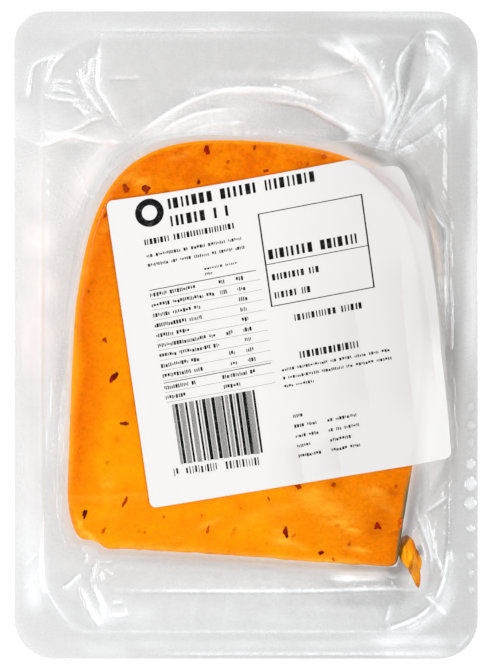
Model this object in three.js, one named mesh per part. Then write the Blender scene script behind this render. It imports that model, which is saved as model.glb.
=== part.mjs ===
// A vacuum pack of gouda: a wedge cut from a wheel of cheese, sealed between a formed film
// and a flat backing film, with a square paper label stuck across its front.
// It lies on its flat back. X runs across the pack, Y from the wedge's thin tip to the thick
// end that was the wheel's rim, and Z up. Millimetres. The origin is under the middle of the
// pack, on the surface that it lies on.
import * as THREE from "three";

// The sealed border, where the two films are welded together
const PACK_WIDTH = 136;
const PACK_LENGTH = 190;
const PACK_CORNERS = { topLeft: 9.5, topRight: 12, bottomRight: 11.5, bottomLeft: 12 };
const SEAL_UNDERSIDE = 2;
const SEAL_THICKNESS = 0.5;
const SEAL_TOP = SEAL_UNDERSIDE + SEAL_THICKNESS;

// The formed film keeps a raised line where its pocket began
const POCKET_HALF_WIDTH = 59.5;
const POCKET_HALF_LENGTH = 87.3;
const POCKET_CORNER = 18;
const POCKET_LINE = { height: 0.8, width: 1.6 };

// The wedge: a cut face that climbs from the tip to the rim
const TIP_Y = -67.5;
const RIM_Y = 55.7;
const TIP_HEIGHT = 8;
const RIM_HEIGHT = 44;
const EDGE_ROUNDING = 2;
const CENTRE = new THREE.Vector2(0, -4);

// How the film leaves the wedge's edge, by compass angle: it slopes away at fall degrees as
// far as the shoulder, then drops to the border at the reach. It stands out furthest at the
// right, where the label's stiff edge holds it.
const SKIRT = [
  { angle: 0, fall: 48, shoulder: 6, reach: 7.8 },
  { angle: 18, fall: 58, shoulder: 4.5, reach: 7.8 },
  { angle: 36, fall: 62, shoulder: 7, reach: 12 },
  { angle: 50, fall: 62, shoulder: 8.5, reach: 15.5 },
  { angle: 60, fall: 62, shoulder: 5.5, reach: 10 },
  { angle: 72, fall: 68, shoulder: 2, reach: 5.5 },
  { angle: 90, fall: 72, shoulder: 1.4, reach: 3.8 },
  { angle: 128, fall: 72, shoulder: 3, reach: 6.5 },
  { angle: 160, fall: 76, shoulder: 1.6, reach: 4.2 },
  { angle: 180, fall: 74, shoulder: 1.6, reach: 3.6 },
  { angle: 229, fall: 60, shoulder: 2, reach: 4.5 },
  { angle: 270, fall: 60, shoulder: 1.4, reach: 3.4 },
  { angle: 294, fall: 55, shoulder: 2, reach: 5 },
  { angle: 312, fall: 56, shoulder: 3, reach: 6.5 },
  { angle: 333, fall: 40, shoulder: 10.5, reach: 13.5 },
  { angle: 346, fall: 44, shoulder: 8, reach: 10.2 },
];

// A crumb of cheese lies loose beside the tip, and lifts the film
const CRUMB = { x: 49.5, y: -67.5, halfWidth: 5.5, halfLength: 9.5, height: 5.5 };

// Folds left by the spare film: the points that each follows, its height and half width
const FOLDS = [
  { along: [[37, 50], [40.6, 61], [40.3, 70.6], [31, 83.5]], height: 1.5, width: 2.6 },
  { along: [[42, 50.5], [46.8, 61.8], [58, 70.6]], height: 1.3, width: 2.4 },
  { along: [[45, 52], [51, 58], [58, 61.8]], height: 1.1, width: 2.2 },
  { along: [[-34.7, 57.4], [-41.5, 66.2], [-44.4, 74], [-43, 85]], height: 1.4, width: 2.6 },
  { along: [[-37.7, 56.8], [-50.3, 60.3], [-59, 57.6]], height: 1.2, width: 2.4 },
  { along: [[-43, 58], [-50, 66], [-58, 70.5]], height: 1.1, width: 2.4 },
  { along: [[-32.7, 58.3], [-22.4, 66.2], [-0.3, 72.7], [21, 68.8]], height: 1.3, width: 2.6 },
  { along: [[4.7, 69.4], [17.4, 66.8], [28.5, 60.9], [35.3, 55.3]], height: 1.1, width: 2.2 },
  { along: [[-37.7, -74.4], [5, -74.6], [54, -74.4]], height: 0.9, width: 1.8 },
  { along: [[-42, -66], [-39.5, -76], [-42.5, -86]], height: 1.3, width: 2.2 },
  { along: [[54.5, -38], [53.5, -52], [57.8, -69]], height: 1.1, width: 1.8 },
];

// The label, as its four edges are seen from above. Its top right corner is folded down
// over the wedge's shoulder, which shortens the top and right edges.
const LABEL_GAP = 0.5;
const LABEL_THICKNESS = 0.3;
const LABEL_ROUNDING = 0.033;
const LABEL_TOP = [[-39.4, 36.8], [28, 49.2], [36.5, 48.4], [43, 47.4]];
const LABEL_RIGHT = [[43, 47.4], [48.6, 37], [52.5, 20.3], [56, -4], [59.8, -34]];
const LABEL_BOTTOM = [[-26.5, -50.1], [59.8, -34]];
const LABEL_LEFT = [[-39.4, 36.8], [-26.5, -50.1]];

// Fineness of the meshes
const EVEN_SPOKES = 120;
const SPOKES_PER_CORNER = 9;
const OUTLINE_SAMPLES = 720;
const LABEL_ROWS = 26;
const LABEL_ROW_GATHERING = 1.8;
const LABEL_COLUMNS_ON_FACE = 4;
const LABEL_COLUMNS_OVER_EDGE = 3;
const LABEL_COLUMNS_BEYOND = 5;

// The cut face's outline: straight beside the tip, rounded where the rim begins
function cheeseOutline() {
  return new THREE.Path()
    .moveTo(-44, -61.5)
    .bezierCurveTo(-50.5, -60.5, -51.8, -54, -51.6, -46)
    .bezierCurveTo(-50.9, -28, -49.6, -8, -48.9, 8)
    .bezierCurveTo(-48.3, 33.5, -34, RIM_Y, -11.1, RIM_Y)
    .bezierCurveTo(3, RIM_Y, 19, 54.6, 29.6, 50.3)
    .bezierCurveTo(43, 45.5, 51.8, 27, 51.6, -1.5)
    .bezierCurveTo(51.6, -22, 46.8, -42, 44.4, TIP_Y)
    .bezierCurveTo(20, TIP_Y, -5, -63.2, -44, -61.5);
}

// A rectangle with arcs for corners, clockwise from the top left
function roundedRectangle(halfWidth, halfLength, corners) {
  const { topLeft, topRight, bottomRight, bottomLeft } = corners;
  const quarter = Math.PI / 2;
  return new THREE.Path()
    .moveTo(-halfWidth + topLeft, halfLength)
    .lineTo(halfWidth - topRight, halfLength)
    .absarc(halfWidth - topRight, halfLength - topRight, topRight, quarter, 0, true)
    .absarc(halfWidth - bottomRight, -halfLength + bottomRight, bottomRight, 0, -quarter, true)
    .absarc(-halfWidth + bottomLeft, -halfLength + bottomLeft, bottomLeft, -quarter, -2 * quarter, true)
    .absarc(-halfWidth + topLeft, halfLength - topLeft, topLeft, -2 * quarter, -3 * quarter, true);
}

// Compass angle and distance of a point from CENTRE
function polar(x, y) {
  const turn = 2 * Math.PI;
  const spoke = new THREE.Vector2(x, y).sub(CENTRE);
  return { angle: (spoke.angle() + turn) % turn, radius: spoke.length() };
}

// A closed outline, as a function from compass angle to distance from CENTRE
function radiusByAngle(path) {
  const turn = 2 * Math.PI;
  const samples = path.getSpacedPoints(OUTLINE_SAMPLES).map((point) => polar(point.x, point.y));
  samples.sort((a, b) => a.angle - b.angle);
  const first = samples[0];
  const last = samples[samples.length - 1];
  samples.unshift({ angle: last.angle - turn, radius: last.radius });
  samples.push({ angle: first.angle + turn, radius: first.radius });
  return (angle) => {
    const wanted = ((angle % turn) + turn) % turn;
    const next = samples.findIndex((sample) => sample.angle > wanted);
    const [a, b] = [samples[next - 1], samples[next]];
    return THREE.MathUtils.mapLinear(wanted, a.angle, b.angle, a.radius, b.radius);
  };
}

const pocketCorners = {
  topLeft: POCKET_CORNER,
  topRight: POCKET_CORNER,
  bottomRight: POCKET_CORNER,
  bottomLeft: POCKET_CORNER,
};
const packOutline = roundedRectangle(PACK_WIDTH / 2, PACK_LENGTH / 2, PACK_CORNERS);
const cheeseRadius = radiusByAngle(cheeseOutline());
const packRadius = radiusByAngle(packOutline);
const pocketRadius = radiusByAngle(
  roundedRectangle(POCKET_HALF_WIDTH, POCKET_HALF_LENGTH, pocketCorners),
);

// The directions in which the pack's rings have points: all round, and more at its corners
function spokeAngles() {
  const even = Array.from({ length: EVEN_SPOKES }, (_, spoke) => (2 * Math.PI * spoke) / EVEN_SPOKES);
  const corners = packOutline.curves.filter((curve) => curve instanceof THREE.EllipseCurve);
  const atCorners = corners.flatMap((corner) =>
    corner.getPoints(SPOKES_PER_CORNER - 1).map((point) => polar(point.x, point.y).angle),
  );
  const clearOfCorners = even.filter((angle) => {
    return atCorners.every((corner) => Math.abs(corner - angle) > Math.PI / EVEN_SPOKES / 2);
  });
  return [...clearOfCorners, ...atCorners].sort((a, b) => a - b);
}

const spokes = spokeAngles();

// The film's skirt at an angle, eased between the named directions
function skirtAt(angle) {
  const degrees = (THREE.MathUtils.radToDeg(angle) + 360) % 360;
  const stops = [...SKIRT, { ...SKIRT[0], angle: 360 }];
  const next = stops.findIndex((stop) => stop.angle > degrees);
  const [from, to] = [stops[next - 1], stops[next]];
  const ease = THREE.MathUtils.smoothstep(degrees, from.angle, to.angle);
  return {
    steepness: Math.tan(THREE.MathUtils.degToRad(THREE.MathUtils.lerp(from.fall, to.fall, ease))),
    shoulder: THREE.MathUtils.lerp(from.shoulder, to.shoulder, ease),
    reach: THREE.MathUtils.lerp(from.reach, to.reach, ease),
  };
}

const faceHeight = (y) => THREE.MathUtils.mapLinear(y, TIP_Y, RIM_Y, TIP_HEIGHT, RIM_HEIGHT);

// The surface that the label follows: the cut face, rounded over its edge into a slope
function sheetHeight(x, y) {
  const { angle, radius } = polar(x, y);
  const past = radius - cheeseRadius(angle);
  if (past <= -EDGE_ROUNDING) return faceHeight(y);
  const { steepness } = skirtAt(angle);
  const rounding = steepness / (2 * EDGE_ROUNDING);
  if (past <= 0) return faceHeight(y) - rounding * (past + EDGE_ROUNDING) ** 2;
  const edgeY = CENTRE.y + cheeseRadius(angle) * Math.sin(angle);
  return faceHeight(edgeY) - rounding * EDGE_ROUNDING ** 2 - steepness * past;
}

// A smooth line on the plan through the given points
function smoothLine(points) {
  return new THREE.CatmullRomCurve3(points.map(([x, y]) => new THREE.Vector3(x, y, 0)));
}

const foldLines = FOLDS.map(({ along, height, width }) => {
  return { points: smoothLine(along).getSpacedPoints(24), height, width };
});

// What the folds, the crumb and the pocket's line add to the film's height at a point
function relief(x, y) {
  const { angle, radius } = polar(x, y);
  const fromLine = (radius - pocketRadius(angle)) / POCKET_LINE.width;
  let height = POCKET_LINE.height * Math.exp(-fromLine * fromLine);
  for (const fold of foldLines) {
    const steps = fold.points.length - 1;
    fold.points.forEach((point, step) => {
      const away = Math.hypot(point.x - x, point.y - y) / fold.width;
      const taper = Math.sin((Math.PI * (step + 1)) / (steps + 2)) ** 0.5;
      height = Math.max(height, fold.height * taper * Math.exp(-away * away));
    });
  }
  const fromCrumb = Math.hypot((x - CRUMB.x) / CRUMB.halfWidth, (y - CRUMB.y) / CRUMB.halfLength);
  return Math.max(height, CRUMB.height * Math.exp(-(fromCrumb ** 4)));
}

// The film's outer surface: over the cut face, down the wedge's sides, out along the border
function filmHeight(x, y) {
  const { angle, radius } = polar(x, y);
  const edge = cheeseRadius(angle);
  const { shoulder, reach } = skirtAt(angle);
  const past = radius - edge;
  if (past <= shoulder) return Math.max(sheetHeight(x, y), SEAL_TOP);
  const onShoulder = CENTRE.clone().add(
    new THREE.Vector2(Math.cos(angle), Math.sin(angle)).multiplyScalar(edge + shoulder),
  );
  const shoulderHeight = Math.max(sheetHeight(onShoulder.x, onShoulder.y), SEAL_TOP);
  const down = Math.min((past - shoulder) / (reach - shoulder), 1);
  const outside = THREE.MathUtils.smoothstep(past, shoulder, reach);
  return THREE.MathUtils.lerp(shoulderHeight, SEAL_TOP, down) + relief(x, y) * outside;
}

function closedGeometry(positions, indices) {
  const geometry = new THREE.BufferGeometry();
  geometry.setAttribute("position", new THREE.Float32BufferAttribute(positions, 3));
  geometry.setIndex(indices);
  geometry.computeVertexNormals();
  return geometry;
}

// A closed skin between an upper and a lower surface. Each is a middle point with rings of
// points round it, and the last ring of each is its outer edge.
function skinOf(upper, lower) {
  const positions = [];
  const indices = [];
  const addSurface = ({ middle, rings }, flipped) => {
    const first = positions.length / 3;
    positions.push(...middle, ...rings.flat(2));
    const at = (ring, spoke) => first + 1 + ring * spokes.length + (spoke % spokes.length);
    const face = (a, b, c) => indices.push(...(flipped ? [a, c, b] : [a, b, c]));
    for (let spoke = 0; spoke < spokes.length; spoke++) {
      face(first, at(0, spoke), at(0, spoke + 1));
      for (let ring = 1; ring < rings.length; ring++) {
        face(at(ring - 1, spoke), at(ring, spoke), at(ring, spoke + 1));
        face(at(ring - 1, spoke), at(ring, spoke + 1), at(ring - 1, spoke + 1));
      }
    }
    return (spoke) => at(rings.length - 1, spoke);
  };
  const top = addSurface(upper, false);
  const bottom = addSurface(lower, true);
  for (let spoke = 0; spoke < spokes.length; spoke++) {
    indices.push(top(spoke), bottom(spoke), bottom(spoke + 1));
    indices.push(top(spoke), bottom(spoke + 1), top(spoke + 1));
  }
  return closedGeometry(positions, indices);
}

// A ring of points round CENTRE, from a radius for each angle and a height for each point
function ring(radiusAt, heightAt) {
  return spokes.map((angle) => {
    const radius = radiusAt(angle);
    const x = CENTRE.x + radius * Math.cos(angle);
    const y = CENTRE.y + radius * Math.sin(angle);
    return [x, y, heightAt(x, y)];
  });
}

// The sealed pack, cheese and film as one body, with its flat underside below the wedge
function packGeometry() {
  const { lerp } = THREE.MathUtils;
  const edgeAt = cheeseRadius;
  const shoulderAt = (angle) => edgeAt(angle) + skirtAt(angle).shoulder;
  const footAt = (angle) => edgeAt(angle) + skirtAt(angle).reach;
  const lineAt = (angle) => pocketRadius(angle) + POCKET_LINE.width;
  const between = (from, to, shares) =>
    shares.map((share) => (angle) => lerp(from(angle), to(angle), share));
  const roundingStart = (angle) => edgeAt(angle) - EDGE_ROUNDING;
  const stations = [
    ...between(() => 0, roundingStart, [0.6, 1]),
    ...between(roundingStart, edgeAt, [0.33, 0.66, 1]),
    ...between(edgeAt, shoulderAt, [0.5, 1]),
    ...between(shoulderAt, footAt, [0.5, 1]),
    ...between(footAt, lineAt, [0.17, 0.34, 0.5, 0.67, 0.84, 1]),
    ...between(lineAt, packRadius, [0.5, 1]),
  ];
  const upper = {
    middle: [CENTRE.x, CENTRE.y, faceHeight(CENTRE.y)],
    rings: stations.map((radiusAt) => ring(radiusAt, filmHeight)),
  };
  const lower = {
    middle: [CENTRE.x, CENTRE.y, 0],
    rings: [
      ring((angle) => edgeAt(angle) - EDGE_ROUNDING, () => 0),
      ring((angle) => edgeAt(angle) + 0.5, () => 0.6),
      ring((angle) => edgeAt(angle) + EDGE_ROUNDING, () => SEAL_UNDERSIDE),
      ring(packRadius, () => SEAL_UNDERSIDE),
    ],
  };
  return skinOf(upper, lower);
}

const labelEdges = {
  top: smoothLine(LABEL_TOP),
  right: smoothLine(LABEL_RIGHT),
  bottom: smoothLine(LABEL_BOTTOM),
  left: smoothLine(LABEL_LEFT),
};

// The label's plan, blended between its four edges: across and up run from 0 to 1
function labelPlan(across, up) {
  const { top, right, bottom, left } = labelEdges;
  const down = 1 - up;
  const weigh = (point, weight) => point.multiplyScalar(weight);
  return weigh(left.getPointAt(down), 1 - across)
    .add(weigh(right.getPointAt(down), across))
    .add(weigh(bottom.getPointAt(across), down))
    .add(weigh(top.getPointAt(across), up))
    .sub(weigh(left.getPointAt(0), (1 - across) * up))
    .sub(weigh(left.getPointAt(1), (1 - across) * down))
    .sub(weigh(right.getPointAt(0), across * up))
    .sub(weigh(right.getPointAt(1), across * down));
}

// Draws a point of the unit square in at the corners, so that the label's are rounded
function roundedSquare(across, up) {
  const inner = 1 - 2 * LABEL_ROUNDING;
  const from = [2 * across - 1, 2 * up - 1];
  const [dx, dy] = from.map((value) => (Math.abs(value) - inner) / (1 - inner));
  if (dx <= 0 || dy <= 0) return [across, up];
  const pull = Math.max(dx, dy) / Math.hypot(dx, dy);
  const drawn = [dx, dy].map((value) => inner + value * pull * (1 - inner));
  return from.map((value, axis) => 0.5 + (Math.sign(value) * drawn[axis]) / 2);
}

// How far past the wedge's edge a point of the label's plan is
function pastEdge(across, up) {
  const point = labelPlan(across, up);
  const { angle, radius } = polar(point.x, point.y);
  return radius - cheeseRadius(angle);
}

// The rows of the label from the bottom up, close together where its top edge bends
function labelRows() {
  const gathered = Array.from({ length: LABEL_ROWS + 1 }, (_, row) => {
    const left = 1 - row / LABEL_ROWS;
    return THREE.MathUtils.lerp(1, LABEL_ROUNDING, left ** LABEL_ROW_GATHERING);
  });
  return [0, LABEL_ROUNDING / 4, ...gathered];
}

// The columns of one row of the label, gathered where it bends over the wedge's edge
function labelColumns(up) {
  const crossing = (wanted) => {
    let [low, high] = [0.5, 1];
    for (let halving = 0; halving < 24; halving++) {
      const middle = (low + high) / 2;
      if (pastEdge(middle, up) < wanted) low = middle;
      else high = middle;
    }
    return low;
  };
  const start = crossing(-EDGE_ROUNDING);
  const end = crossing(0);
  const spread = (from, to, count) =>
    Array.from({ length: count }, (_, step) => THREE.MathUtils.lerp(from, to, step / count));
  return [
    ...spread(0, LABEL_ROUNDING, 1),
    ...spread(LABEL_ROUNDING, start, LABEL_COLUMNS_ON_FACE),
    ...spread(start, end, LABEL_COLUMNS_OVER_EDGE),
    ...spread(end, 1, LABEL_COLUMNS_BEYOND),
    1,
  ];
}

// The outward normal of the surface that the label follows
function sheetNormal(x, y) {
  const step = 0.3;
  const slopeX = (sheetHeight(x + step, y) - sheetHeight(x - step, y)) / (2 * step);
  const slopeY = (sheetHeight(x, y + step) - sheetHeight(x, y - step)) / (2 * step);
  return new THREE.Vector3(-slopeX, -slopeY, 1).normalize();
}

// A sheet of paper lying just off the film, with both faces and its four cut edges
function labelGeometry() {
  const plan = labelRows().map((up) =>
    labelColumns(up).map((across) => labelPlan(...roundedSquare(across, up))),
  );
  const side = plan[0].length;
  const lastRow = plan.length - 1;
  const positions = [LABEL_GAP + LABEL_THICKNESS, LABEL_GAP].flatMap((lift) =>
    plan.flat().flatMap(({ x, y }) => {
      const normal = sheetNormal(x, y).multiplyScalar(lift);
      return [x + normal.x, y + normal.y, sheetHeight(x, y) + normal.z];
    }),
  );
  const indices = [];
  const quad = (a, b, c, d) => indices.push(a, b, c, a, c, d);
  const under = plan.length * side;
  for (let row = 0; row < lastRow; row++) {
    for (let column = 0; column < side - 1; column++) {
      const a = row * side + column;
      quad(a, a + 1, a + side + 1, a + side);
      quad(under + a, under + a + side, under + a + side + 1, under + a + 1);
    }
    const [left, right] = [row * side, row * side + side - 1];
    quad(left, left + side, under + left + side, under + left);
    quad(under + right, under + right + side, right + side, right);
  }
  for (let column = 0; column < side - 1; column++) {
    const far = lastRow * side + column;
    quad(under + column, under + column + 1, column + 1, column);
    quad(far, far + 1, under + far + 1, under + far);
  }
  return closedGeometry(positions, indices);
}

function mesh(name, geometry, material) {
  const made = new THREE.Mesh(geometry, material);
  made.name = name;
  return made;
}

const filmOverCheese = new THREE.MeshStandardMaterial({
  color: "#ff9800",
  roughness: 0.25,
  metalness: 0,
});
const labelPaper = new THREE.MeshStandardMaterial({
  color: "#f6f3f3",
  roughness: 0.6,
  metalness: 0,
});

const vacuumPack = new THREE.Group();
vacuumPack.add(mesh("pack", packGeometry(), filmOverCheese));
vacuumPack.add(mesh("label", labelGeometry(), labelPaper));

export default vacuumPack;
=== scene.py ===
import math

import bpy
import numpy as np
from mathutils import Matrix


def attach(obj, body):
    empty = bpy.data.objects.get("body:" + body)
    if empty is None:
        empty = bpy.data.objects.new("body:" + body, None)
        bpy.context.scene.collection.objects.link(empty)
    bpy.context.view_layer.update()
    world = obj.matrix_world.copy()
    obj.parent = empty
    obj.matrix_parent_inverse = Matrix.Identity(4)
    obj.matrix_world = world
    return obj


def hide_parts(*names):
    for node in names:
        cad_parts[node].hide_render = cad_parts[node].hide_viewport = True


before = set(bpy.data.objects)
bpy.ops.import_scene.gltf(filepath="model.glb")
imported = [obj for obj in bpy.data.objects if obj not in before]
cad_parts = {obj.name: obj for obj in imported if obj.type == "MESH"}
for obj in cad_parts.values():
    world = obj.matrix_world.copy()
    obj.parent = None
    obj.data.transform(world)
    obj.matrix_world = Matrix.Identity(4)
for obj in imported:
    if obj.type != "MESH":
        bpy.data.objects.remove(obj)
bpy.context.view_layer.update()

# Lengths below are in millimetres, and MM turns them into the frame's metres. The angles in
# lists are in degrees, anticlockwise from +X.
MM = 0.001

# -------------------------------------------------------------
# The studio: a glowing white table seen from straight above, lit from all sides by softboxes
# that stand low enough to leave the film's flat border clear and to catch its folds.
CAMERA_PLACE = (-0.15, 0.3, 1100)
FRAME_LENGTH = 196.5
SENSOR = 36
FLOOR_SIZE = 6000
SOFTBOXES = {
    "left_softbox": {"place": (-900, -250, 900), "size": 600, "power": 10},
    "right_softbox": {"place": (950, 100, 900), "size": 500, "power": 6.5},
    "far_softbox": {"place": (450, 900, 900), "size": 500, "power": 7},
    "near_softbox": {"place": (-150, -1100, 700), "size": 500, "power": 6.5},
}


def softbox(name, place, size, power):
    bpy.ops.object.light_add(type="AREA", location=[value * MM for value in place])
    lamp = bpy.context.object
    lamp.name = name
    lamp.data.shape = "SQUARE"
    lamp.data.size = size * MM
    lamp.data.energy = power
    lamp.rotation_euler = (-lamp.location).to_track_quat("-Z", "Y").to_euler()
    lamp.visible_camera = False
    lamp.visible_glossy = name != "near_softbox"


def join(value, socket):
    """Feeds a socket from another node's output, or sets it to a plain value."""
    if isinstance(value, bpy.types.NodeSocket):
        tree.links.new(value, socket)
    else:
        socket.default_value = value


def node(kind, wanted, settings=None, **inputs):
    """Adds a shader node to the tree in hand and gives back the output that is wanted."""
    made = tree.nodes.new("ShaderNode" + kind)
    for name, value in (settings or {}).items():
        setattr(made, name, value)
    for name, value in inputs.items():
        join(value, made.inputs[name.replace("_", " ")])
    return made.outputs[wanted] if wanted else made


def maths(operation, *values):
    """A maths node on numbers and other nodes' outputs."""
    made = node("Math", "Value", {"operation": operation}).node
    for value, socket in zip(values, made.inputs):
        join(value, socket)
    return made.outputs["Value"]


def times(first, second):
    """The product of two values."""
    return maths("MULTIPLY", first, second)


def graded(value, start, end, low=0, high=1):
    """A value moved from the range start to end to the range low to high, and kept in it."""
    return node(
        "MapRange", "Result", Value=value, From_Min=start, From_Max=end, To_Min=low, To_Max=high
    )


def new_material(name, **inputs):
    """A material with one Principled shader, whose inputs are given by name."""
    material = bpy.data.materials.new(name)
    material.use_nodes = True
    shader = material.node_tree.nodes["Principled BSDF"]
    for key, value in inputs.items():
        shader.inputs[key.replace("_", " ")].default_value = value
    return material, material.node_tree, shader


for name, settings in SOFTBOXES.items():
    softbox(name, **settings)

bpy.ops.object.camera_add(location=[value * MM for value in CAMERA_PLACE])
camera = bpy.context.object
camera.data.sensor_fit = "VERTICAL"
camera.data.sensor_height = SENSOR
camera.data.lens = SENSOR * CAMERA_PLACE[2] / FRAME_LENGTH
camera.data.clip_start = 0.05
bpy.context.scene.camera = camera

world = bpy.data.worlds.new("studio")
world.use_nodes = True
tree = world.node_tree
backdrop = tree.nodes["Background"]
backdrop.inputs["Color"].default_value = (1, 1, 1, 1)
# walls: white low down and black higher up, where the film over the cheese would mirror them
walls_height = node("SeparateXYZ", "Z", Vector=node("TexCoord", "Generated"))
walls = graded(walls_height, 0, 0.75, 0.9, 0.02)
join(maths("MAXIMUM", walls, node("LightPath", "Is Camera Ray")), backdrop.inputs["Strength"])
bpy.context.scene.world = world
bpy.context.scene.view_settings.view_transform = "Standard"

bpy.ops.mesh.primitive_plane_add(size=FLOOR_SIZE * MM)
floor = bpy.context.object
floor.name = "floor"
floor_white, _, glow = new_material("floor_white", Base_Color=(0.3, 0.3, 0.3, 1), Roughness=0.9)
glow.inputs["Emission Color"].default_value = (1, 1, 1, 1)
glow.inputs["Emission Strength"].default_value = 0.85
floor.data.materials.append(floor_white)

# -------------------------------------------------------------
# The wedge of gouda, cut from a wheel: it lies on one cut face, and the other one slopes up
# from the thin tip to the rim. Dense, even cheese with a thin darker rind at the sides,
# carved from a block and then worked over, so that its edges are soft and its face uneven.
TIP_Y = -67.5
RIM_Y = 55.7
TIP_HEIGHT = 8
RIM_HEIGHT = 44
EDGE_ROUNDING = 2
CENTRE = (0, -4)
CHEESE_INSET = 0.1
CHEESE_UNDERSIDE = 0.25
CHEESE_POINTS = 320
CHEESE_VOXEL = 0.85
# how deep the edge is torn, in long waves and in short ones, and how uneven the face is
TORN_DEPTHS = (0.35, 0.25)
FACE_WAVES = (0.16, 0.07)
FACE_SETTLING = 0.15
# the skin, whose dark colour is partly painted shade of the gap between cheese and film: how wide it
# is, where along X it starts and where along Y it ends
SKIN_WIDTH = 1.7
SKIN_START_X = 42.5
SKIN_END_Y = -38
SKIN_SHARE = 0.95
# the belt inside the rind: its strength at some distances from the edge
BELT_DISTANCES = [0.4, 3.2, 6, 12.4]
BELT_STRENGTHS = [0, 0.85, 0.55, 0]
# marks in the cut face: x, y, half length, half width, turn, strength; dark ones with a minus
FACE_MARKS = [
    # pale: where the knife dragged, and the torn fringe along the thin end
    (23.2, -50, 10, 3.6, -35, 0.5), (29.7, -56.2, 3.2, 0.8, -25, 0.9), (32.6, -62.6, 4, 0.8, -14, 0.8),
    (38.8, -46, 2.8, 1.2, -30, 0.6), (10.3, -58.2, 3.4, 2.4, 60, 0.5), (14, -61, 4, 0.9, -20, 0.5),
    (11.5, -65.8, 14, 1.1, -5, 0.9), (27, -66.4, 6, 1.2, -3, 0.9), (-26, -62.2, 14, 1.3, -4, 0.5),
    (-46, -58.6, 4, 1, -38, 0.9), (-48.5, -55.5, 3, 0.7, -60, 0.6), (-40, -42.6, 2.4, 1.8, 20, 0.4),
    (-11, -55, 4, 0.8, 20, 0.5), (-29.5, 43, 2.4, 1.8, 0, 0.6), (-33, 45, 4, 1, 40, 0.4),
    (-19, 50.6, 3, 0.9, 15, 0.4), (6, -52, 10, 2, 20, 0.25), (37, -38, 6, 1.2, 15, 0.3),
    (-40, 30, 8, 1.2, 60, 0.35), (38, -48, 6, 1, -35, 0.4), (-44.8, -59.6, 4, 0.5, -43, 1),
    (-48.6, -55.6, 2, 0.4, 60, 0.9),
    # brown: round flakes that lie just under the face, and painted shade along the right edge, beside
    # the gap and the crumb
    (38.4, -56.2, 3.6, 3.2, 20, -0.8), (43.6, -44.6, 2.4, 1.8, 60, -0.7),
    (30.2, -61.8, 2.4, 1.5, 60, -0.5), (25.5, -43.6, 2.6, 1.8, 0, -0.6), (15.2, -44, 2.6, 1.2, 0, -0.6),
    (43.6, -61.5, 7, 1.4, 80, -0.5), (41, -48, 8, 2.6, 77, -0.4), (36, -50, 5, 3, 80, -0.2),
    (18, 48.6, 5, 1.4, 25, -0.5), (-13.5, 44.5, 3, 1.6, 0, -0.5), (-8, 42.6, 8, 1.6, 12, -0.35),
    (20, 51, 4, 1.4, -18, -0.4), (-34, 42, 2.4, 2, 0, -0.4), (-1, -64.5, 6, 1, -5, -0.15),
    (-50.2, -54, 4, 0.6, 100, -0.6), (-47.5, -57.6, 2.4, 0.4, -40, -0.7),
]
WEDGE_START = (-41.5, -62.6)
WEDGE_CURVES = [
    ((-42.4, -61.4), (-44.4, -60.1), (-46.6, -60)),
    ((-48, -60.1), (-49, -60.3), (-49.9, -58)),
    ((-51.4, -54), (-52.1, -50.5), (-52.1, -46)),
    ((-51.2, -28), (-50.3, -6), (-49, 8)),
    ((-44.8, 34.7), (-40.3, 53.8), (-11.1, 55.3)),
    ((3, 55.6), (19, 54.4), (29.6, 50.2)),
    ((43, 45.5), (51.8, 27), (51.6, -1.5)),
    ((51.6, -22), (47.6, -42), (44.3, -68)),
    ((20, -67.3), (-5, -63.9), WEDGE_START),
]


def bezier_chain(start, curves, steps=80):
    """Points along cubic curves laid end to end, each given by its handles and its end."""
    share = np.linspace(0, 1, steps, endpoint=False)[:, None]
    points = []
    for first, second, end in curves:
        a, b, c, d = (np.array(point, float) for point in (start, first, second, end))
        rest = 1 - share
        points.append(
            a * rest**3 + 3 * b * rest**2 * share + 3 * c * rest * share**2 + d * share**3
        )
        start = end
    return np.vstack(points + [[start]])


def polar(x, y):
    """The compass angle and distance of points from the wedge's middle."""
    east, north = x - CENTRE[0], y - CENTRE[1]
    return np.arctan2(north, east) % math.tau, np.hypot(east, north)


def round_middle(angle, radius):
    """The places at compass angles and distances from the wedge's middle."""
    return CENTRE[0] + radius * np.cos(angle), CENTRE[1] + radius * np.sin(angle)


def radius_by_angle(outline):
    """A closed outline, as a function from compass angle to distance from the middle."""
    angle, radius = polar(*outline.T)
    return lambda wanted: np.interp(wanted, angle, radius, period=math.tau)


def value_noise(x, y, size, seed):
    """Smooth random heights between -1 and 1, about one bump to each size."""
    lattice = np.random.default_rng(seed).uniform(-1, 1, (64, 64))
    column, row = x / size, y / size
    left, below = np.floor(column).astype(int), np.floor(row).astype(int)
    across, up = column - left, row - below
    across, up = across**2 * (3 - 2 * across), up**2 * (3 - 2 * up)

    def corner(i, j):
        return lattice[(left + i) % 64, (below + j) % 64]

    low = corner(0, 0) * (1 - across) + corner(1, 0) * across
    high = corner(0, 1) * (1 - across) + corner(1, 1) * across
    return low * (1 - up) + high * up


wedge_radius = radius_by_angle(bezier_chain(WEDGE_START, WEDGE_CURVES))


def face_height(y):
    """Height of the sloping cut face."""
    return TIP_HEIGHT + (RIM_HEIGHT - TIP_HEIGHT) * (y - TIP_Y) / (RIM_Y - TIP_Y)


def vertices_of(piece):
    """A piece's vertex places, in millimetres."""
    places = np.empty(len(piece.data.vertices) * 3)
    piece.data.vertices.foreach_get("co", places)
    return places.reshape(-1, 3) / MM


def place_vertices(piece, places):
    """Moves a piece's vertices to places in millimetres."""
    piece.data.vertices.foreach_set("co", (np.asarray(places) * MM).ravel())
    piece.data.update()


def point_values(piece, name, values):
    """Stores one number for each vertex, for the piece's material to read."""
    attribute = piece.data.attributes.new(name, "FLOAT", "POINT")
    attribute.data.foreach_set("value", np.asarray(values, float))


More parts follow.
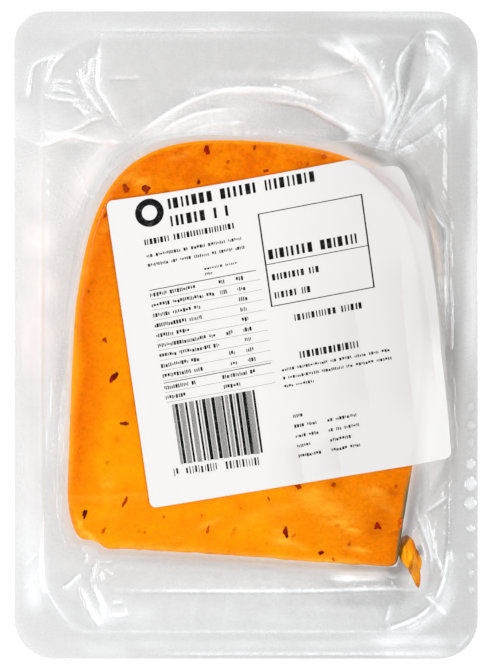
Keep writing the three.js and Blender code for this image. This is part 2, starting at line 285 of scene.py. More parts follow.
def take_up(*pieces):
    """Selects these pieces alone, and makes the first one active."""
    bpy.ops.object.select_all(action="DESELECT")
    for piece in pieces:
        piece.select_set(True)
    bpy.context.view_layer.objects.active = pieces[0]


def apply_modifier(piece, kind, **settings):
    """Adds a modifier with its settings and applies it."""
    take_up(piece)
    modifier = piece.modifiers.new(kind, kind)
    for name, value in settings.items():
        setattr(modifier, name, value)
    bpy.ops.object.modifier_apply(modifier=modifier.name)


bpy.ops.mesh.primitive_circle_add(vertices=CHEESE_POINTS, radius=1, fill_type="NGON")
wedge = bpy.context.object
wedge.name = "cheese_wedge"
compass = np.arctan2(*vertices_of(wedge)[:, 1::-1].T) % math.tau
ragged = TORN_DEPTHS[0] * value_noise(compass * 30, compass, 1, 5)
ragged = ragged + TORN_DEPTHS[1] * value_noise(compass * 75, compass, 1, 6)
torn_edge = np.clip((np.sin(compass) + 0.55) / -0.25, 0.15, 1)
outline_radius = wedge_radius(compass) - CHEESE_INSET - torn_edge * np.abs(ragged)
foot_x, foot_y = round_middle(compass, outline_radius)
place_vertices(wedge, np.column_stack([foot_x, foot_y, np.full_like(foot_x, CHEESE_UNDERSIDE)]))
bpy.ops.object.mode_set(mode="EDIT")
bpy.ops.mesh.select_all(action="SELECT")
bpy.ops.mesh.extrude_region_move(TRANSFORM_OT_translate={"value": (0, 0, TIP_HEIGHT * MM)})
bpy.ops.mesh.select_all(action="SELECT")
bpy.ops.mesh.normals_make_consistent(inside=False)
bpy.ops.object.mode_set(mode="OBJECT")
block = vertices_of(wedge)
raised = block[:, 2] > TIP_HEIGHT / 2
block[raised, 2] = face_height(block[raised, 1]) - CHEESE_INSET
place_vertices(wedge, block)
apply_modifier(
    wedge, "BEVEL", width=EDGE_ROUNDING * MM, segments=4, limit_method="ANGLE", angle_limit=0.9
)
apply_modifier(wedge, "REMESH", mode="VOXEL", voxel_size=CHEESE_VOXEL * MM, use_smooth_shade=True)
apply_modifier(wedge, "SMOOTH", factor=0.5, iterations=2)
carved_x, carved_y, carved_z = vertices_of(wedge).T
angle, radius = polar(carved_x, carved_y)
inward = wedge_radius(angle) - CHEESE_INSET - radius
unevenness = FACE_WAVES[0] * value_noise(carved_x, carved_y, 17, 3)
unevenness += FACE_WAVES[1] * value_noise(carved_x, carved_y, 4, 4)
above_foot = np.clip((carved_z - 2) / 4, 0, 1)
carved_z = carved_z + (unevenness - FACE_SETTLING) * above_foot
place_vertices(wedge, np.column_stack([carved_x, carved_y, carved_z]))
point_values(wedge, "inward", np.clip(inward, 0, 30))
# a thin grey-green skin along the right edge of the thin end, which fades down the side; its near-black
# green is partly painted shade of the gap between the cheese and the film
below_face = face_height(carved_y) - carved_z
skin = np.clip((SKIN_WIDTH - inward) / 0.8, 0, 1) * np.clip((SKIN_END_Y - carved_y) / 8, 0, 1)
skin *= np.clip((carved_x - SKIN_START_X) / 1.5, 0, 1) * np.clip(1.5 - below_face / 3.2, 0.12, 1)
point_values(wedge, "skin", SKIN_SHARE * skin)
# a darker belt just inside the rind, which is seen at the wedge's left
belt_wave = value_noise(carved_x + 60, carved_y + 60, 16, 7)
belt_wave += 0.5 * value_noise(carved_x + 60, carved_y + 60, 7, 8)
belt_place = np.interp(inward + 1.1 * belt_wave, BELT_DISTANCES, BELT_STRENGTHS)
belt_place *= np.clip((-20 - carved_x) / 16, 0, 1) * np.clip((carved_y + 56) / 20, 0, 1)
point_values(wedge, "belt", belt_place)


def soft_marks(x, y, marks):
    """The strength at each place of soft oval marks, the pale ones and then the dark ones."""
    pale = np.zeros_like(x)
    dark = np.zeros_like(x)
    for middle_x, middle_y, long, wide, turn, strength in marks:
        turn = math.radians(turn)
        along = (x - middle_x) * math.cos(turn) + (y - middle_y) * math.sin(turn)
        aside = (y - middle_y) * math.cos(turn) - (x - middle_x) * math.sin(turn)
        mark = strength * np.exp(-((along / long) ** 4) - np.abs(aside / wide) ** 2.5)
        pale += np.maximum(mark, 0)
        dark -= np.minimum(mark, 0)
    return pale, dark


for name, marks in zip(("pale", "brown"), soft_marks(carved_x, carved_y, FACE_MARKS)):
    point_values(wedge, name, marks)


def noise(scale, detail=2, roughness=0.5, distortion=0, at=None):
    """Cloudy noise over the piece in hand."""
    return node(
        "TexNoise", "Fac", Vector=at or place, Scale=scale, Detail=detail, Roughness=roughness,
        Distortion=distortion,
    )


def turned(turn, scale):
    """The piece's coordinates, turned and stretched, for a streaky noise."""
    return node("Mapping", "Vector", Vector=place, Rotation=(0, 0, turn), Scale=scale)


def stored(name):
    """A number that the mesh holds for each vertex."""
    return node("Attribute", "Fac", {"attribute_name": name})


def where(axis):
    """Where a place is along one axis."""
    return node("SeparateXYZ", axis, Vector=place)


def tint(red, green, blue):
    """An opaque colour."""
    return (red, green, blue, 1)


def mixed(share, first, second):
    """A colour between two others."""
    return node("Mix", "Result", {"data_type": "RGBA"}, Factor=share, A=first, B=second)


def ramp(value, low, low_colour, high, high_colour):
    """Two colours, with a ramp between them from one value to another."""
    made = node("ValToRGB", "Color", Fac=value).node
    stops = made.color_ramp.elements
    for stop, position, colour in ((stops[0], low, low_colour), (stops[1], high, high_colour)):
        stop.position = position
        stop.color = colour
    return made.outputs["Color"]


def bump(height, strength, distance, **normal):
    """A normal that follows small heights."""
    return node("Bump", "Normal", Height=height, Strength=strength, Distance=distance, **normal)


cheese, tree, shader = new_material("gouda", Roughness=0.5, Specular_IOR_Level=0.05)
place = node("TexCoord", "Object")
colour = ramp(noise(85, 6, 0.68), 0.32, tint(0.92, 0.225, 0), 0.68, tint(0.985, 0.335, 0))
# pale strokes that the knife left across the face
strokes = noise(1, 3, 0.6, 0.5, at=turned(0.6, (22, 150, 1)))
colour = mixed(graded(strokes, 0.6, 0.8, 0, 0.8), colour, tint(1, 0.42, 0.02))
# the paste darkens in clouds towards the rim, and evenly towards the right
clouds = graded(noise(230, 4, 0.65), 0.36, 0.6, 1, 0.45)
cloudy_rim = times(graded(where("Y"), -0.02, 0.05, 0, 0.95), clouds)
colour = mixed(cloudy_rim, colour, tint(0.74, 0.125, 0))
colour = mixed(graded(where("X"), 0.005, 0.047), colour, tint(0.78, 0.175, 0))
# the rind's band: a darker belt with a bright edge outside it
colour = mixed(stored("belt"), colour, tint(0.78, 0.135, 0))
colour = mixed(graded(stored("inward"), 1.6, 0.2, 0, 0.7), colour, tint(1, 0.36, 0))
# the marks in the face, broken up by a fine streaky noise
breaks = graded(noise(1, 3, 0.6, at=turned(0.55, (130, 420, 1))), 0.36, 0.6, 0.15, 1)
for name, mark_colour in (("pale", tint(1, 0.5, 0.035)), ("brown", tint(0.58, 0.105, 0))):
    colour = mixed(times(stored(name), breaks), colour, mark_colour)
# faint red smudges where a flake lies just under the face, and the skin, which is partly painted shade
# of the gap beside the cheese's right edge
colour = mixed(graded(noise(230, 2, 0.4), 0.68, 0.78, 0, 0.55), colour, tint(0.5, 0.055, 0))
colour = mixed(stored("skin"), colour, tint(0.1, 0.115, 0.045))
# fine mottling all over, from the curd's own grain
speckle = graded(noise(950, 3, 0.7), 0.3, 0.7, 0.86, 1.1)
speckled = node("VectorMath", "Vector", {"operation": "SCALE"}, Vector=colour, Scale=speckle)
join(speckled, shader.inputs["Base Color"])
join(bump(noise(420, 3), 0.3, 0.0006), shader.inputs["Normal"])
wedge.data.materials.append(cheese)
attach(wedge, "root")

# -------------------------------------------------------------
# Flakes of dried chilli, stirred into the curd and cut through with it. Each is a thin
# wrinkled scrap of skin that lies flush in the cut face.
# x, y, width, length, and how far the cheese has closed over it
FLAKES = [
    (-11, 52.5, 1.5, 2.4, 0), (-5, 49, 1.2, 1.2, 0.6), (-34, 41.5, 1.8, 2.6, 0.2),
    (-28, 41.5, 2.4, 2.4, 0.1), (-40, 34, 0.9, 1.2, 0.3), (-13.5, 43.5, 1.2, 1.2, 0),
    (-20, 51.5, 0.6, 0.6, 0.9), (-23.5, 51, 0.6, 0.6, 0.9), (2.5, 53, 0.9, 1.2, 0.2),
    (22, 50.5, 1.5, 1.2, 0.5), (17.5, 48.5, 0.8, 0.8, 0.6), (15, 48.5, 1.2, 1.2, 0.9),
    (5.5, 46.5, 1.8, 0.9, 0.2), (-45, 12.5, 0.6, 0.9, 0.4), (-40.5, -1.5, 1.2, 1.5, 0.2),
    (-38, -12, 1.8, 2.9, 0), (-35, -25.5, 2.4, 1.2, 0.1), (-35, -48, 0.9, 3.5, 0.15),
    (-47, -52, 1.5, 2.9, 0), (-41.5, -57, 0.9, 2.4, 0.6), (-29.5, -57.5, 0.8, 0.8, 0.9),
    (-24, -53, 0.9, 0.9, 0.85), (-13, -52.5, 0.7, 0.7, 0.9), (-11, -56.5, 0.9, 2.6, 0.5),
    (-1.5, -50.5, 0.6, 0.6, 0.9), (6.5, -47.5, 0.6, 1.8, 0.4), (15.2, -44, 2.4, 1.4, 0.2),
    (25.5, -43.5, 1.2, 1.2, 0.3), (11.5, -57.5, 1.5, 3.2, 0), (14, -58.5, 1, 0.8, 0.85),
    (22, -63.5, 1.8, 1.5, 0), (25.5, -65.5, 0.9, 1.2, 0.75), (30, -61, 1.2, 1.2, 0.6),
    (38.2, -55.6, 2.2, 2.4, 0), (43.5, -44, 0.9, 1.2, 0.5), (45, -54, 1.1, 1.2, 0.6),
    (45, -55.5, 1.1, 1.2, 0.75),
]
FLAKE_THICKNESS = 0.5
FLAKE_CRINKLE = 0.5
FACE_SLOPE = math.atan((RIM_HEIGHT - TIP_HEIGHT) / (RIM_Y - TIP_Y))

flake_dice = np.random.default_rng(11)
flakes = []
for x, y, width, length, buried in FLAKES:
    bpy.ops.mesh.primitive_ico_sphere_add(subdivisions=3, radius=0.5)
    flake = bpy.context.object
    ball = vertices_of(flake) * MM
    shift = flake_dice.uniform(0, 60, 2)
    crinkle = value_noise(ball[:, 0] * 3 + shift[0], ball[:, 1] * 3 + shift[1], 1, 12)
    crinkle += 0.6 * value_noise(ball[:, 0] * 8 + shift[1], ball[:, 1] * 8 + shift[0], 1, 13)
    ball *= 1 + FLAKE_CRINKLE * crinkle[:, None]
    scrap_x, scrap_y, scrap_z = (ball * (0.85 * width, length, FLAKE_THICKNESS)).T
    turn = flake_dice.uniform(-0.5, 0.5)
    across = scrap_x * math.cos(turn) - scrap_y * math.sin(turn)
    along = scrap_x * math.sin(turn) + scrap_y * math.cos(turn)
    lie = face_height(y) - CHEESE_INSET - 0.1
    placed = np.column_stack([
        x + across,
        y + along * math.cos(FACE_SLOPE),
        lie + scrap_z + along * math.sin(FACE_SLOPE),
    ])
    place_vertices(flake, placed)
    point_values(flake, "buried", np.full(len(ball), buried))
    flakes.append(flake)
take_up(*flakes)
bpy.ops.object.join()
chilli_flakes = bpy.context.object
chilli_flakes.name = "chilli_flakes"
bpy.ops.object.shade_smooth()

chilli, tree, shader = new_material("chilli_skin", Roughness=0.6, Specular_IOR_Level=0.1)
place = node("TexCoord", "Object")
skin = ramp(noise(260), 0.38, tint(0.09, 0.002, 0.001), 0.64, tint(0.3, 0.006, 0))
skin = mixed(stored("buried"), skin, tint(0.8, 0.14, 0))
join(skin, shader.inputs["Base Color"])
chilli_flakes.data.materials.append(chilli)
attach(chilli_flakes, "root")

# -------------------------------------------------------------
# A crumb that broke off the wedge and was sealed in beside its tip: a long, torn scrap of
# the same cheese, rough on all sides.
CRUMB_MIDDLE = (48.8, -65.8)
CRUMB_OUTLINE = [
    (45.6, -59.2), (47.2, -58.6), (48.9, -60), (49.8, -62.6), (50.9, -64.6), (51.4, -67),
    (50.9, -69), (51.1, -71.5), (50.6, -74.3), (49.6, -73), (48.6, -70.6), (47.6, -68.6),
    (46.4, -67), (45, -65.2), (44.4, -62),
]
CRUMB_HEIGHTS = (2.6, 6.3)
CRUMB_ROUGHNESS = 0.04
CRUMB_RIDGES = 0.34

bpy.ops.mesh.primitive_ico_sphere_add(subdivisions=5, radius=1)
crumb = bpy.context.object
crumb.name = "cheese_crumb"
ball_x, ball_y, ball_z = vertices_of(crumb).T * MM
corner_x, corner_y = (np.array(CRUMB_OUTLINE) - CRUMB_MIDDLE).T
crumb_radius = np.interp(
    np.arctan2(ball_y, ball_x), np.arctan2(corner_y, corner_x), np.hypot(corner_x, corner_y),
    period=math.tau,
)
roughness = 1 + CRUMB_ROUGHNESS * value_noise(ball_x * 9 + 9, ball_y * 9 + ball_z * 4, 1, 22)
low, high = CRUMB_HEIGHTS
crumb_x = CRUMB_MIDDLE[0] + ball_x * crumb_radius * roughness
crumb_y = CRUMB_MIDDLE[1] + ball_y * crumb_radius
ridges = CRUMB_RIDGES * value_noise(crumb_x * 1.9 + crumb_y * 0.5, crumb_y * 0.3, 1, 23)
dome = np.sign(ball_z) * np.abs(ball_z) ** 0.55
crumb_z = (low + high) / 2 + (dome + ridges * (ball_z > 0)) * (high - low) / 2
place_vertices(crumb, np.column_stack([crumb_x, crumb_y, crumb_z]))
bpy.ops.object.shade_smooth()

torn_cheese, tree, shader = new_material("torn_gouda", Roughness=0.6, Specular_IOR_Level=0.1)
place = node("TexCoord", "Object")
torn = noise(260, 4, at=turned(0.25, (3.2, 0.8, 1)))
torn_colour = ramp(torn, 0.42, tint(0.9, 0.25, 0), 0.56, tint(1, 0.42, 0.004))
join(torn_colour, shader.inputs["Base Color"])
join(bump(torn, 0.5, 0.0006), shader.inputs["Normal"])
crumb.data.materials.append(torn_cheese)
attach(crumb, "root")

# -------------------------------------------------------------
# The film: a formed web drawn down over the cheese and welded to a flat backing web all
# round, in clear laminate. The spare of the formed pocket has collapsed into the folds
# beside the wedge, which is why it is laid out as rings that follow the wedge's outline.
PACK_SIZE = (136, 190)
PACK_CORNERS = {"top_left": 9.5, "top_right": 12, "bottom_right": 11.5, "bottom_left": 12}
SEAL_UNDERSIDE = 2
SEAL_TOP = 2.5
POCKET_HALF_SIZE = (59.5, 87.3)
POCKET_CORNER = 18
# how the film leaves the wedge's edge, by compass angle: it slopes away by the angle of its
# fall as far as the shoulder, then drops to the border at the reach
SKIRT_MEASURES = ("angle", "fall", "shoulder", "reach")
SKIRT = [
    (0, 48, 6, 7.8), (18, 58, 4.5, 7.8), (36, 62, 7, 12), (50, 62, 8.5, 15.5), (60, 62, 5.5, 10),
    (72, 68, 2, 5.5), (90, 72, 1.4, 3.8), (128, 72, 3, 6.5), (160, 76, 1.6, 4.2),
    (180, 74, 1.6, 3.6), (229, 60, 2, 4.5), (270, 60, 1.4, 3.4), (294, 55, 2, 5),
    (312, 56, 3, 6.5), (333, 40, 10.5, 13.5), (346, 44, 8, 10.2),
]
# the corner that the painted glow beside the cheese leaves out, and the bump over the crumb
DULL_CORNER = {"x": 46, "y": -58, "size": 15}
CRUMB_BUMP = {"x": 48.8, "y": -66.5, "half_width": 6, "half_length": 11, "height": 4.7}
# each fold: the points that it follows, how far it stands up and how wide it is
FOLDS = [
    # round the back of the rim
    (
        [(-33.5, 57.2), (-25, 63.6), (-17, 68.2), (-8, 71.4), (1, 72.4), (11, 71.4), (20.5, 68.8)],
        1.4, -1.5,
    ),
    ([(-25.3, 58.8), (-20.6, 62.2), (-13, 65.2), (-4, 66.4)], 0.9, -1.4),
    ([(-18.5, 59), (-11.5, 61.5), (0, 62.4)], 0.6, -1.1),
    ([(4, 69.5), (17.5, 67), (23, 64), (29, 60.5), (35.5, 55)], 1.2, 1.3),
    # the top left corner
    ([(-64, 68.5), (-63.5, 75.5), (-62, 79.5), (-56, 82), (-53, 83.5)], 0.7, 0.9),
    ([(-58.5, 73), (-58, 76), (-56.5, 79.5), (-52.5, 83.5)], 0.6, 0.8),
    ([(-57, 73.5), (-55.5, 74.5), (-53, 74.5), (-50.5, 74)], 0.6, 0.7),
    ([(-59.5, 71), (-56, 69.5), (-52, 69), (-48, 68.5)], 0.6, 0.7),
    ([(-58, 71.5), (-54, 72), (-49.5, 70.5)], -0.7, 0.9),
    ([(-50.5, 68), (-48, 66), (-46, 64)], 0.6, 0.7),
    ([(-63.5, 57), (-59.5, 56), (-52, 58.5), (-46.5, 57.5), (-41.5, 56.5), (-35.5, 56.5)], 1, 1.2),
    ([(-59.5, 60), (-55, 59), (-49, 61), (-45.5, 63), (-41, 64)], 0.8, 1),
    ([(-42.5, 87), (-43.5, 80.5), (-43.5, 72.5), (-41, 68.5), (-38.5, 64), (-35.5, 60)], 1, 1),
    ([(-44.5, 82), (-46, 80), (-46, 77.5), (-47, 74.5), (-46, 73.5)], 0.7, 0.8),
    ([(-49, 79), (-48, 74), (-46.5, 71), (-43.5, 67), (-41, 64)], 0.8, 0.9),
    ([(-47.5, 70), (-47.5, 66)], 0.4, 0.6),
    ([(-45.5, 67.5), (-45.5, 64.5)], 0.4, 0.6),
    # the top right corner
    ([(29, 86.5), (35, 79), (38.8, 72), (41, 64.5), (40.5, 59.5), (38.5, 55.5), (36.5, 51)], 1.4, 1.5),
    ([(26, 84.5), (28.5, 82), (34, 79)], 0.8, 0.9),
    ([(50.5, 88.5), (44.5, 79.5), (45, 69.5), (43, 63.5), (40.5, 58.5), (37, 51.5)], -0.9, 1.5),
    ([(39.5, 80.5), (39.5, 77.5)], 0.4, 0.8),
    ([(53.5, 76.5), (52.5, 72.5), (49, 67), (45.5, 62)], 0.9, 0.8),
    ([(58, 70.5), (54.5, 67), (48, 61), (45.5, 58.5), (42.5, 51.5)], 1.2, 0.9),
    ([(57.5, 62.5), (54.5, 59.5), (50, 56.5), (45.5, 54), (42.5, 51.5)], 1, 0.9),
    ([(52, 89), (55.5, 88.5), (58, 86.5), (59.5, 84.5)], 0.7, 0.9),
    ([(52.5, 87.5), (54.5, 82)], 0.6, 1.1),
    ([(55.5, 84.5), (59.5, 78.5), (57.5, 76)], 0.6, 1),
    ([(35, 56.5), (40.5, 61)], 0.5, 0.7),
    ([(34, 57), (37.5, 53.5), (36.5, 50.5)], 0.7, 0.7),
    ([(48.5, 74), (46.5, 68), (43.5, 60.5), (39.5, 53)], 0.7, 0.8),
    ([(55, 68.5), (50, 65), (46, 60), (43, 55)], 0.7, 0.8),
    ([(57, 60), (50.5, 55), (45, 52.2)], 0.5, 0.7),
    ([(44, 62.5), (41.5, 57.5), (40, 53.5)], 0.6, 0.7),
    # the right side
    ([(50.5, 41), (54, 37), (56.5, 33.5), (58.5, 31), (58.5, 22), (58.5, -1.5)], 0.9, 0.9),
    ([(50.5, -40.5), (50.6, -46), (50, -51.5), (52, -57), (54, -63), (54.6, -70)], 0.9, 0.8),
    ([(53.5, -38), (54, -46)], 0.5, 1.4),
    ([(52.5, -52), (53.5, -58.5), (54.5, -64), (56, -66), (58.5, -71)], 0.6, 1),
    ([(52.5, -52), (54.5, -50.5), (59, -47.5)], 0.6, 0.7),
    # below the tip
    ([(-48.5, -60), (-47.5, -63.5)], 0.5, 0.6),
    ([(-47, -63), (-46.5, -65), (-47, -67)], 0.5, 0.6),
    ([(-44, -66.5), (-39, -66.5)], 0.5, 0.6),
    ([(-44, -66.5), (-44.5, -69.5), (-45, -72.5)], 0.6, 0.7),
    ([(-42.5, -69), (-42, -72.5)], 0.5, 0.6),
    ([(-41.5, -68.5), (-39, -70.5)], 0.5, 0.6),
    ([(-49, -73.5), (-47.5, -76), (-45.5, -81), (-42.5, -86)], 1, 0.9),
    ([(-45, -72.5), (-42.5, -78.5), (-42, -80.5), (-42.5, -85.5)], 1, 0.9),
    ([(-48.5, -70), (-51, -72.5), (-53.5, -74.5)], 0.8, 0.9),
    ([(-64.5, -67.5), (-61.5, -64)], 0.4, 0.8),
    ([(-65, -74.5), (-61.5, -71)], 0.4, 0.8),
    ([(-39.5, -78.5), (-36, -78.5)], -0.6, 1.3),
    ([(-40, -82), (-34.5, -82)], 0.7, 1.3),
    ([(27, -63.5), (30.5, -62.5), (34, -64.5), (40.5, -69.5), (43.5, -71), (46, -68)], 1, 0.9),
    ([(23.5, -71.5), (39, -71.5)], 0.5, 1.5),
    ([(42.5, -79), (41, -84.5)], -0.6, 0.8),
    ([(47, -86.5), (51, -84)], 0.5, 1),
    ([(52.5, -76), (59, -82.5)], 0.6, 1.1),
    ([(62, -92), (65.5, -88)], 0.5, 0.9),
    # the crumpled corners of the pocket
    ([(-60, -61), (-59.8, -67), (-59.1, -73), (-55.9, -79.1), (-50.9, -85.9)], 0.45, 0.8),
    ([(59.2, -62), (58.8, -67.4), (57.6, -73), (55.4, -78.4)], 0.9, 1),
    ([(55.4, -78.4), (51.5, -82), (46.8, -84.4), (40, -86.8)], 0.9, 1),
    # lines that the forming tool and the flattened pocket left
    ([(-41, 75.5), (-30.5, 75.5)], 0.5, 0.8),
    ([(6.5, 75.5), (19, 75.5), (34, 78.5)], 0.6, 0.8),
    ([(-38, -75), (-13.5, -75), (16, -75), (37.5, -74.5), (54, -74.5)], 0.7, 0.8),
    ([(-45.5, 89.5), (-16.5, 89.5), (13, 89.5)], 0.5, 0.6),
    ([(-31, -93.5), (13, -93.5), (59, -93.5)], 0.5, 0.6),
    ([(-54.5, -87), (-28, -87), (1, -87), (54, -87)], 0.3, 0.5),
]
# soft patches of painted highlight with a milky haze, and dark ones of painted shade with a minus: x,
# y, half length, half width, turn, strength
PATCHES = [
    # behind the rim and over the top border
    (-15, 60.8, 20, 4, 16, 0.5), (20, 73.6, 9, 2.5, -5, 0.5), (0, 58.6, 24, 1.6, 0, 0.5),
    (33.5, 66, 8, 8, -50, 0.9), (31.5, 82.5, 6, 2, -50, 0.8), (38.8, 71, 9, 1.7, -72, 1),
    (41.2, 61, 6, 1.4, 88, 1), (-44, 51, 11, 4, 48, 0.6), (-57, 40, 10, 7, 90, 0.25),
    (-65.6, 62, 5, 4, 90, 0.4), (-50, 57.5, 6, 1.2, 0, 0.6), (-47, 44, 12, 3, 60, 0.4),
    (-1, 71.8, 14, 0.8, 0, 0.8), (-20, 66.6, 7, 0.8, 33, 0.6), (14, 70.6, 6, 0.8, -14, 0.7),
    (34, 86.4, 5, 1.2, 0, 0.6), (-25, 90, 32, 3, 0, 0.3), (47, 94, 22, 1.4, 0, 0.4),
    (56, 76.5, 6, 3, 60, 0.8), (51.2, 60.3, 7, 4, 40, 0.4), (10, 76.5, 20, 1.4, 0, 0.25),
    # the left and right borders
    (-63, 20, 34, 5, 90, 1), (-58, 10, 50, 4, 90, 0.55), (-53, -18, 34, 1.5, 86, 0.45),
    (-63, -33, 34, 4, 90, 0.8), (-62, -74, 7, 3, 90, 0.6), (67, 34, 36, 1.2, 90, 0.8),
    (66, 12, 20, 1.8, 90, 0.8),
    # the near border
    (46, -89.6, 14, 1.6, 0, 0.5), (0, -90.6, 52, 1.3, 0, 0.3), (-41, -92.6, 6, 1.6, 0, 0.4),
    (50, -93.4, 10, 1.2, 0, 0.5), (-37, -82, 10, 3, 0, 0.35), (0, -82, 40, 5, 0, 0.15),
    (32.6, -70.9, 6.5, 1.4, 3, 1.2), (53, -84.2, 9, 1.4, 38, 0.25), (58.4, -79, 6, 1.6, 65, 0.3),
    (49, -78, 4, 2, 30, 0.3), (28, 74, 8, 3.4, -25, 0.7), (26.5, 83.8, 5, 1.2, -25, 0.9),
    (63.7, 70.5, 8, 2, 85, 0.5), (55.5, 83, 6, 2, 80, 0.5),
    # painted shade, beside the wedge and in the right of the pocket
    (53, 36, 9, 3.4, 115, -1.2), (55.2, 22, 19, 1.7, 98, -3.6), (59.6, 10, 28, 2, 91, -1.5),
    (60.8, -20, 30, 2.4, 88, -1), (58.4, -6, 12, 1.2, 96, -1.4), (32.5, 55.4, 8, 3, -22, -2.6),
    (45.5, 42, 10, 2.2, -52, -1.2), (35.6, 51, 6, 1.3, -22, -2), (46.2, 46.4, 6, 2.6, -50, -1.7),
    (59.4, -60, 12, 1, 88, -1.2), (51, -46, 8, 1, 86, -1.5), (44.8, -67.6, 2.6, 1.2, 45, -2.2),
    (46.2, 73.5, 13, 1.5, 76, -2.2), (45, 51, 6, 2.4, -55, -0.8), (48.2, -51, 14, 1.4, 83, -2.6),
    (45.2, -68.6, 4, 2.6, 30, -1), (50.9, -63, 1.6, 1, 100, -3), (45.4, -61.4, 4.4, 1.3, 84, -3.5),
    (45, -78, 5, 4, 60, -0.6), (36, -67.8, 10, 1.5, -4, -2.2), (44, -70, 4, 3, 50, -0.8),
    (34, -73.2, 12, 1.2, 0, -1.5), (38, -78, 12, 2, 0, -1), (-10, -66.6, 34, 1.8, -3, -0.6),
    (-54, -24, 22, 1.6, 90, -1),
]
# patches of painted shade and painted orange glow in a soft peach colour, beside the wedge's right
# side, at the label's corner and under the thin end
PEACH_GLOW_AND_SHADE_PATCHES = [
    (55, 27, 10, 1.3, 100, 1.2), (56.3, 14, 8, 1.1, 96, 0.6), (31, 54.4, 6, 1.2, -20, 0.5),
    (2, -66.2, 38, 1.2, -4, 0.35),
]
# how far the loose film stands off: the slack all over it, its broad and its small billows,
# the streaks at the wedge's foot, the gathers in the corners, and the line round the pocket
SLACK = 0.35
BILLOWS = (0.35, 0.06)
STREAK_HEIGHT = 0.22
GATHER_HEIGHT = 0.35
POCKET_STEP = 0.2
POCKET_RIDGE = 0.16
# how much painted highlight and sheen each feature of the film takes on as white haze, and how much
# painted shade as grey; the spare film's own grey is its tint
WHITENESS = {
    "sheen": 0.36, "blisters": 0.9, "patches": 0.8, "ridge": 0.16, "streaks": 0.2,
    "gathers": 0.15, "satin_sheen": 0.45, "beside": 0.12, "peach_glow_and_shade": 0.35,
}
GREYNESS = {"spare": 1.02, "rightward": 0.45, "upward": 0.1, "foot": 0.55, "peach_glow_and_shade": 1.2, "rim_shades": 0.4}
FILM_SPOKES = 1030
FACE_RINGS = 4
ROUNDING_RINGS = 4
SKIRT_RINGS = 18
SPARE_RINGS = 47
BORDER_RINGS = 11
# blisters in the weld of the right border, by their place along it: how high and how wide; each carries
# a painted glint in its white and a painted dark rim round it
BLISTERS = [
    (-21, 0.35, 1.4), (-26.5, 0.4, 1.4), (-31.4, 0.3, 1.2), (-37.9, 0.5, 1.6), (-43.6, 0.6, 2),
    (-49.4, 0.5, 1.9), (-56.7, 0.6, 1.1), (-64.7, 0.4, 1.2), (-69.7, 0.4, 1), (-74.5, 0.4, 1),
]
BLISTER_X = 65.9
# the two sides of a fold, as shares of its width, and how much of its height the film takes
STEEP_SIDE = 0.72
SOFT_SIDE = 1.9
FOLD_RISE = 0.75
BORDER_BEVEL = 0.2


def rounded_rectangle(half_width, half_length, corners, steps=40):
    """Points round a rectangle with arcs for corners, clockwise from the top left."""
    sides = [
        (-1, 1, corners["top_left"], 180),
        (1, 1, corners["top_right"], 90),
        (1, -1, corners["bottom_right"], 0),
        (-1, -1, corners["bottom_left"], -90),
    ]
    points = []
    for east, north, corner, start in sides:
        turn = np.radians(np.linspace(start, start - 90, steps))
        x = east * (half_width - corner) + corner * np.cos(turn)
        y = north * (half_length - corner) + corner * np.sin(turn)
        points.append(np.column_stack([x, y]))
    ring = np.vstack(points)
    return spaced_points(np.vstack([ring, ring[:1]]), 1600)[:-1]


def spaced_points(points, count):
    """Evenly spaced points along a line of straight stretches."""
    steps = np.hypot(*np.diff(points, axis=0).T)
    run = np.concatenate([[0], np.cumsum(steps)])
    wanted = np.linspace(0, run[-1], count)
    return np.column_stack([np.interp(wanted, run, points[:, axis]) for axis in (0, 1)])


def smooth_line(points, spacing=0.8):
    """A smooth line through points, as many short straight stretches."""
    known = np.array(points, float)
    if len(known) > 2:
        padded = np.vstack([2 * known[0] - known[1], known, 2 * known[-1] - known[-2]])
        share = np.linspace(0, 1, 12, endpoint=False)[:, None]
        bends = []
        for a, b, c, d in zip(padded, padded[1:], padded[2:], padded[3:]):
            run = np.linalg.norm(c - b)
            leaving = (c - a) * run / (np.linalg.norm(b - a) + run)
            arriving = (d - b) * run / (np.linalg.norm(d - c) + run)
            s, r = share, 1 - share
            bends.append(
                b * (1 + 2 * s) * r**2 + leaving * s * r**2
                + c * s**2 * (3 - 2 * s) - arriving * s**2 * r
            )
        known = np.vstack(bends + [known[-1:]])
    length = np.hypot(*np.diff(known, axis=0).T).sum()
    return spaced_points(known, max(3, round(length / spacing)))


pack_outline = rounded_rectangle(PACK_SIZE[0] / 2, PACK_SIZE[1] / 2, PACK_CORNERS)
pocket_outline = rounded_rectangle(*POCKET_HALF_SIZE, dict.fromkeys(PACK_CORNERS, POCKET_CORNER))
pack_radius = radius_by_angle(pack_outline)
pocket_radius = radius_by_angle(pocket_outline)


def skirt(angle, what):
    """One of the skirt's measures at compass angles, eased between the named directions."""
    stops = dict(zip(SKIRT_MEASURES, np.array(SKIRT + [(360, *SKIRT[0][1:])], float).T))
    at, values = stops["angle"], stops[what]
    degrees = np.degrees(angle) % 360
    following = np.clip(np.searchsorted(at, degrees, side="right"), 1, len(at) - 1)
    share = (degrees - at[following - 1]) / (at[following] - at[following - 1])
    share = share**2 * (3 - 2 * share)
    return values[following - 1] * (1 - share) + values[following] * share


def sheet_height(x, y):
    """What the label follows: the cut face, rounded over its edge into a slope."""
    angle, radius = polar(x, y)
    edge = wedge_radius(angle)
    past = radius - edge
    steepness = np.tan(np.radians(skirt(angle, "fall")))
    rounding = steepness / (2 * EDGE_ROUNDING)
    edge_height = face_height(CENTRE[1] + edge * np.sin(angle)) - rounding * EDGE_ROUNDING**2
    over = np.clip(past + EDGE_ROUNDING, 0, EDGE_ROUNDING)
    on_face = face_height(y) - rounding * over**2
    return np.where(past <= 0, on_face, edge_height - steepness * past)


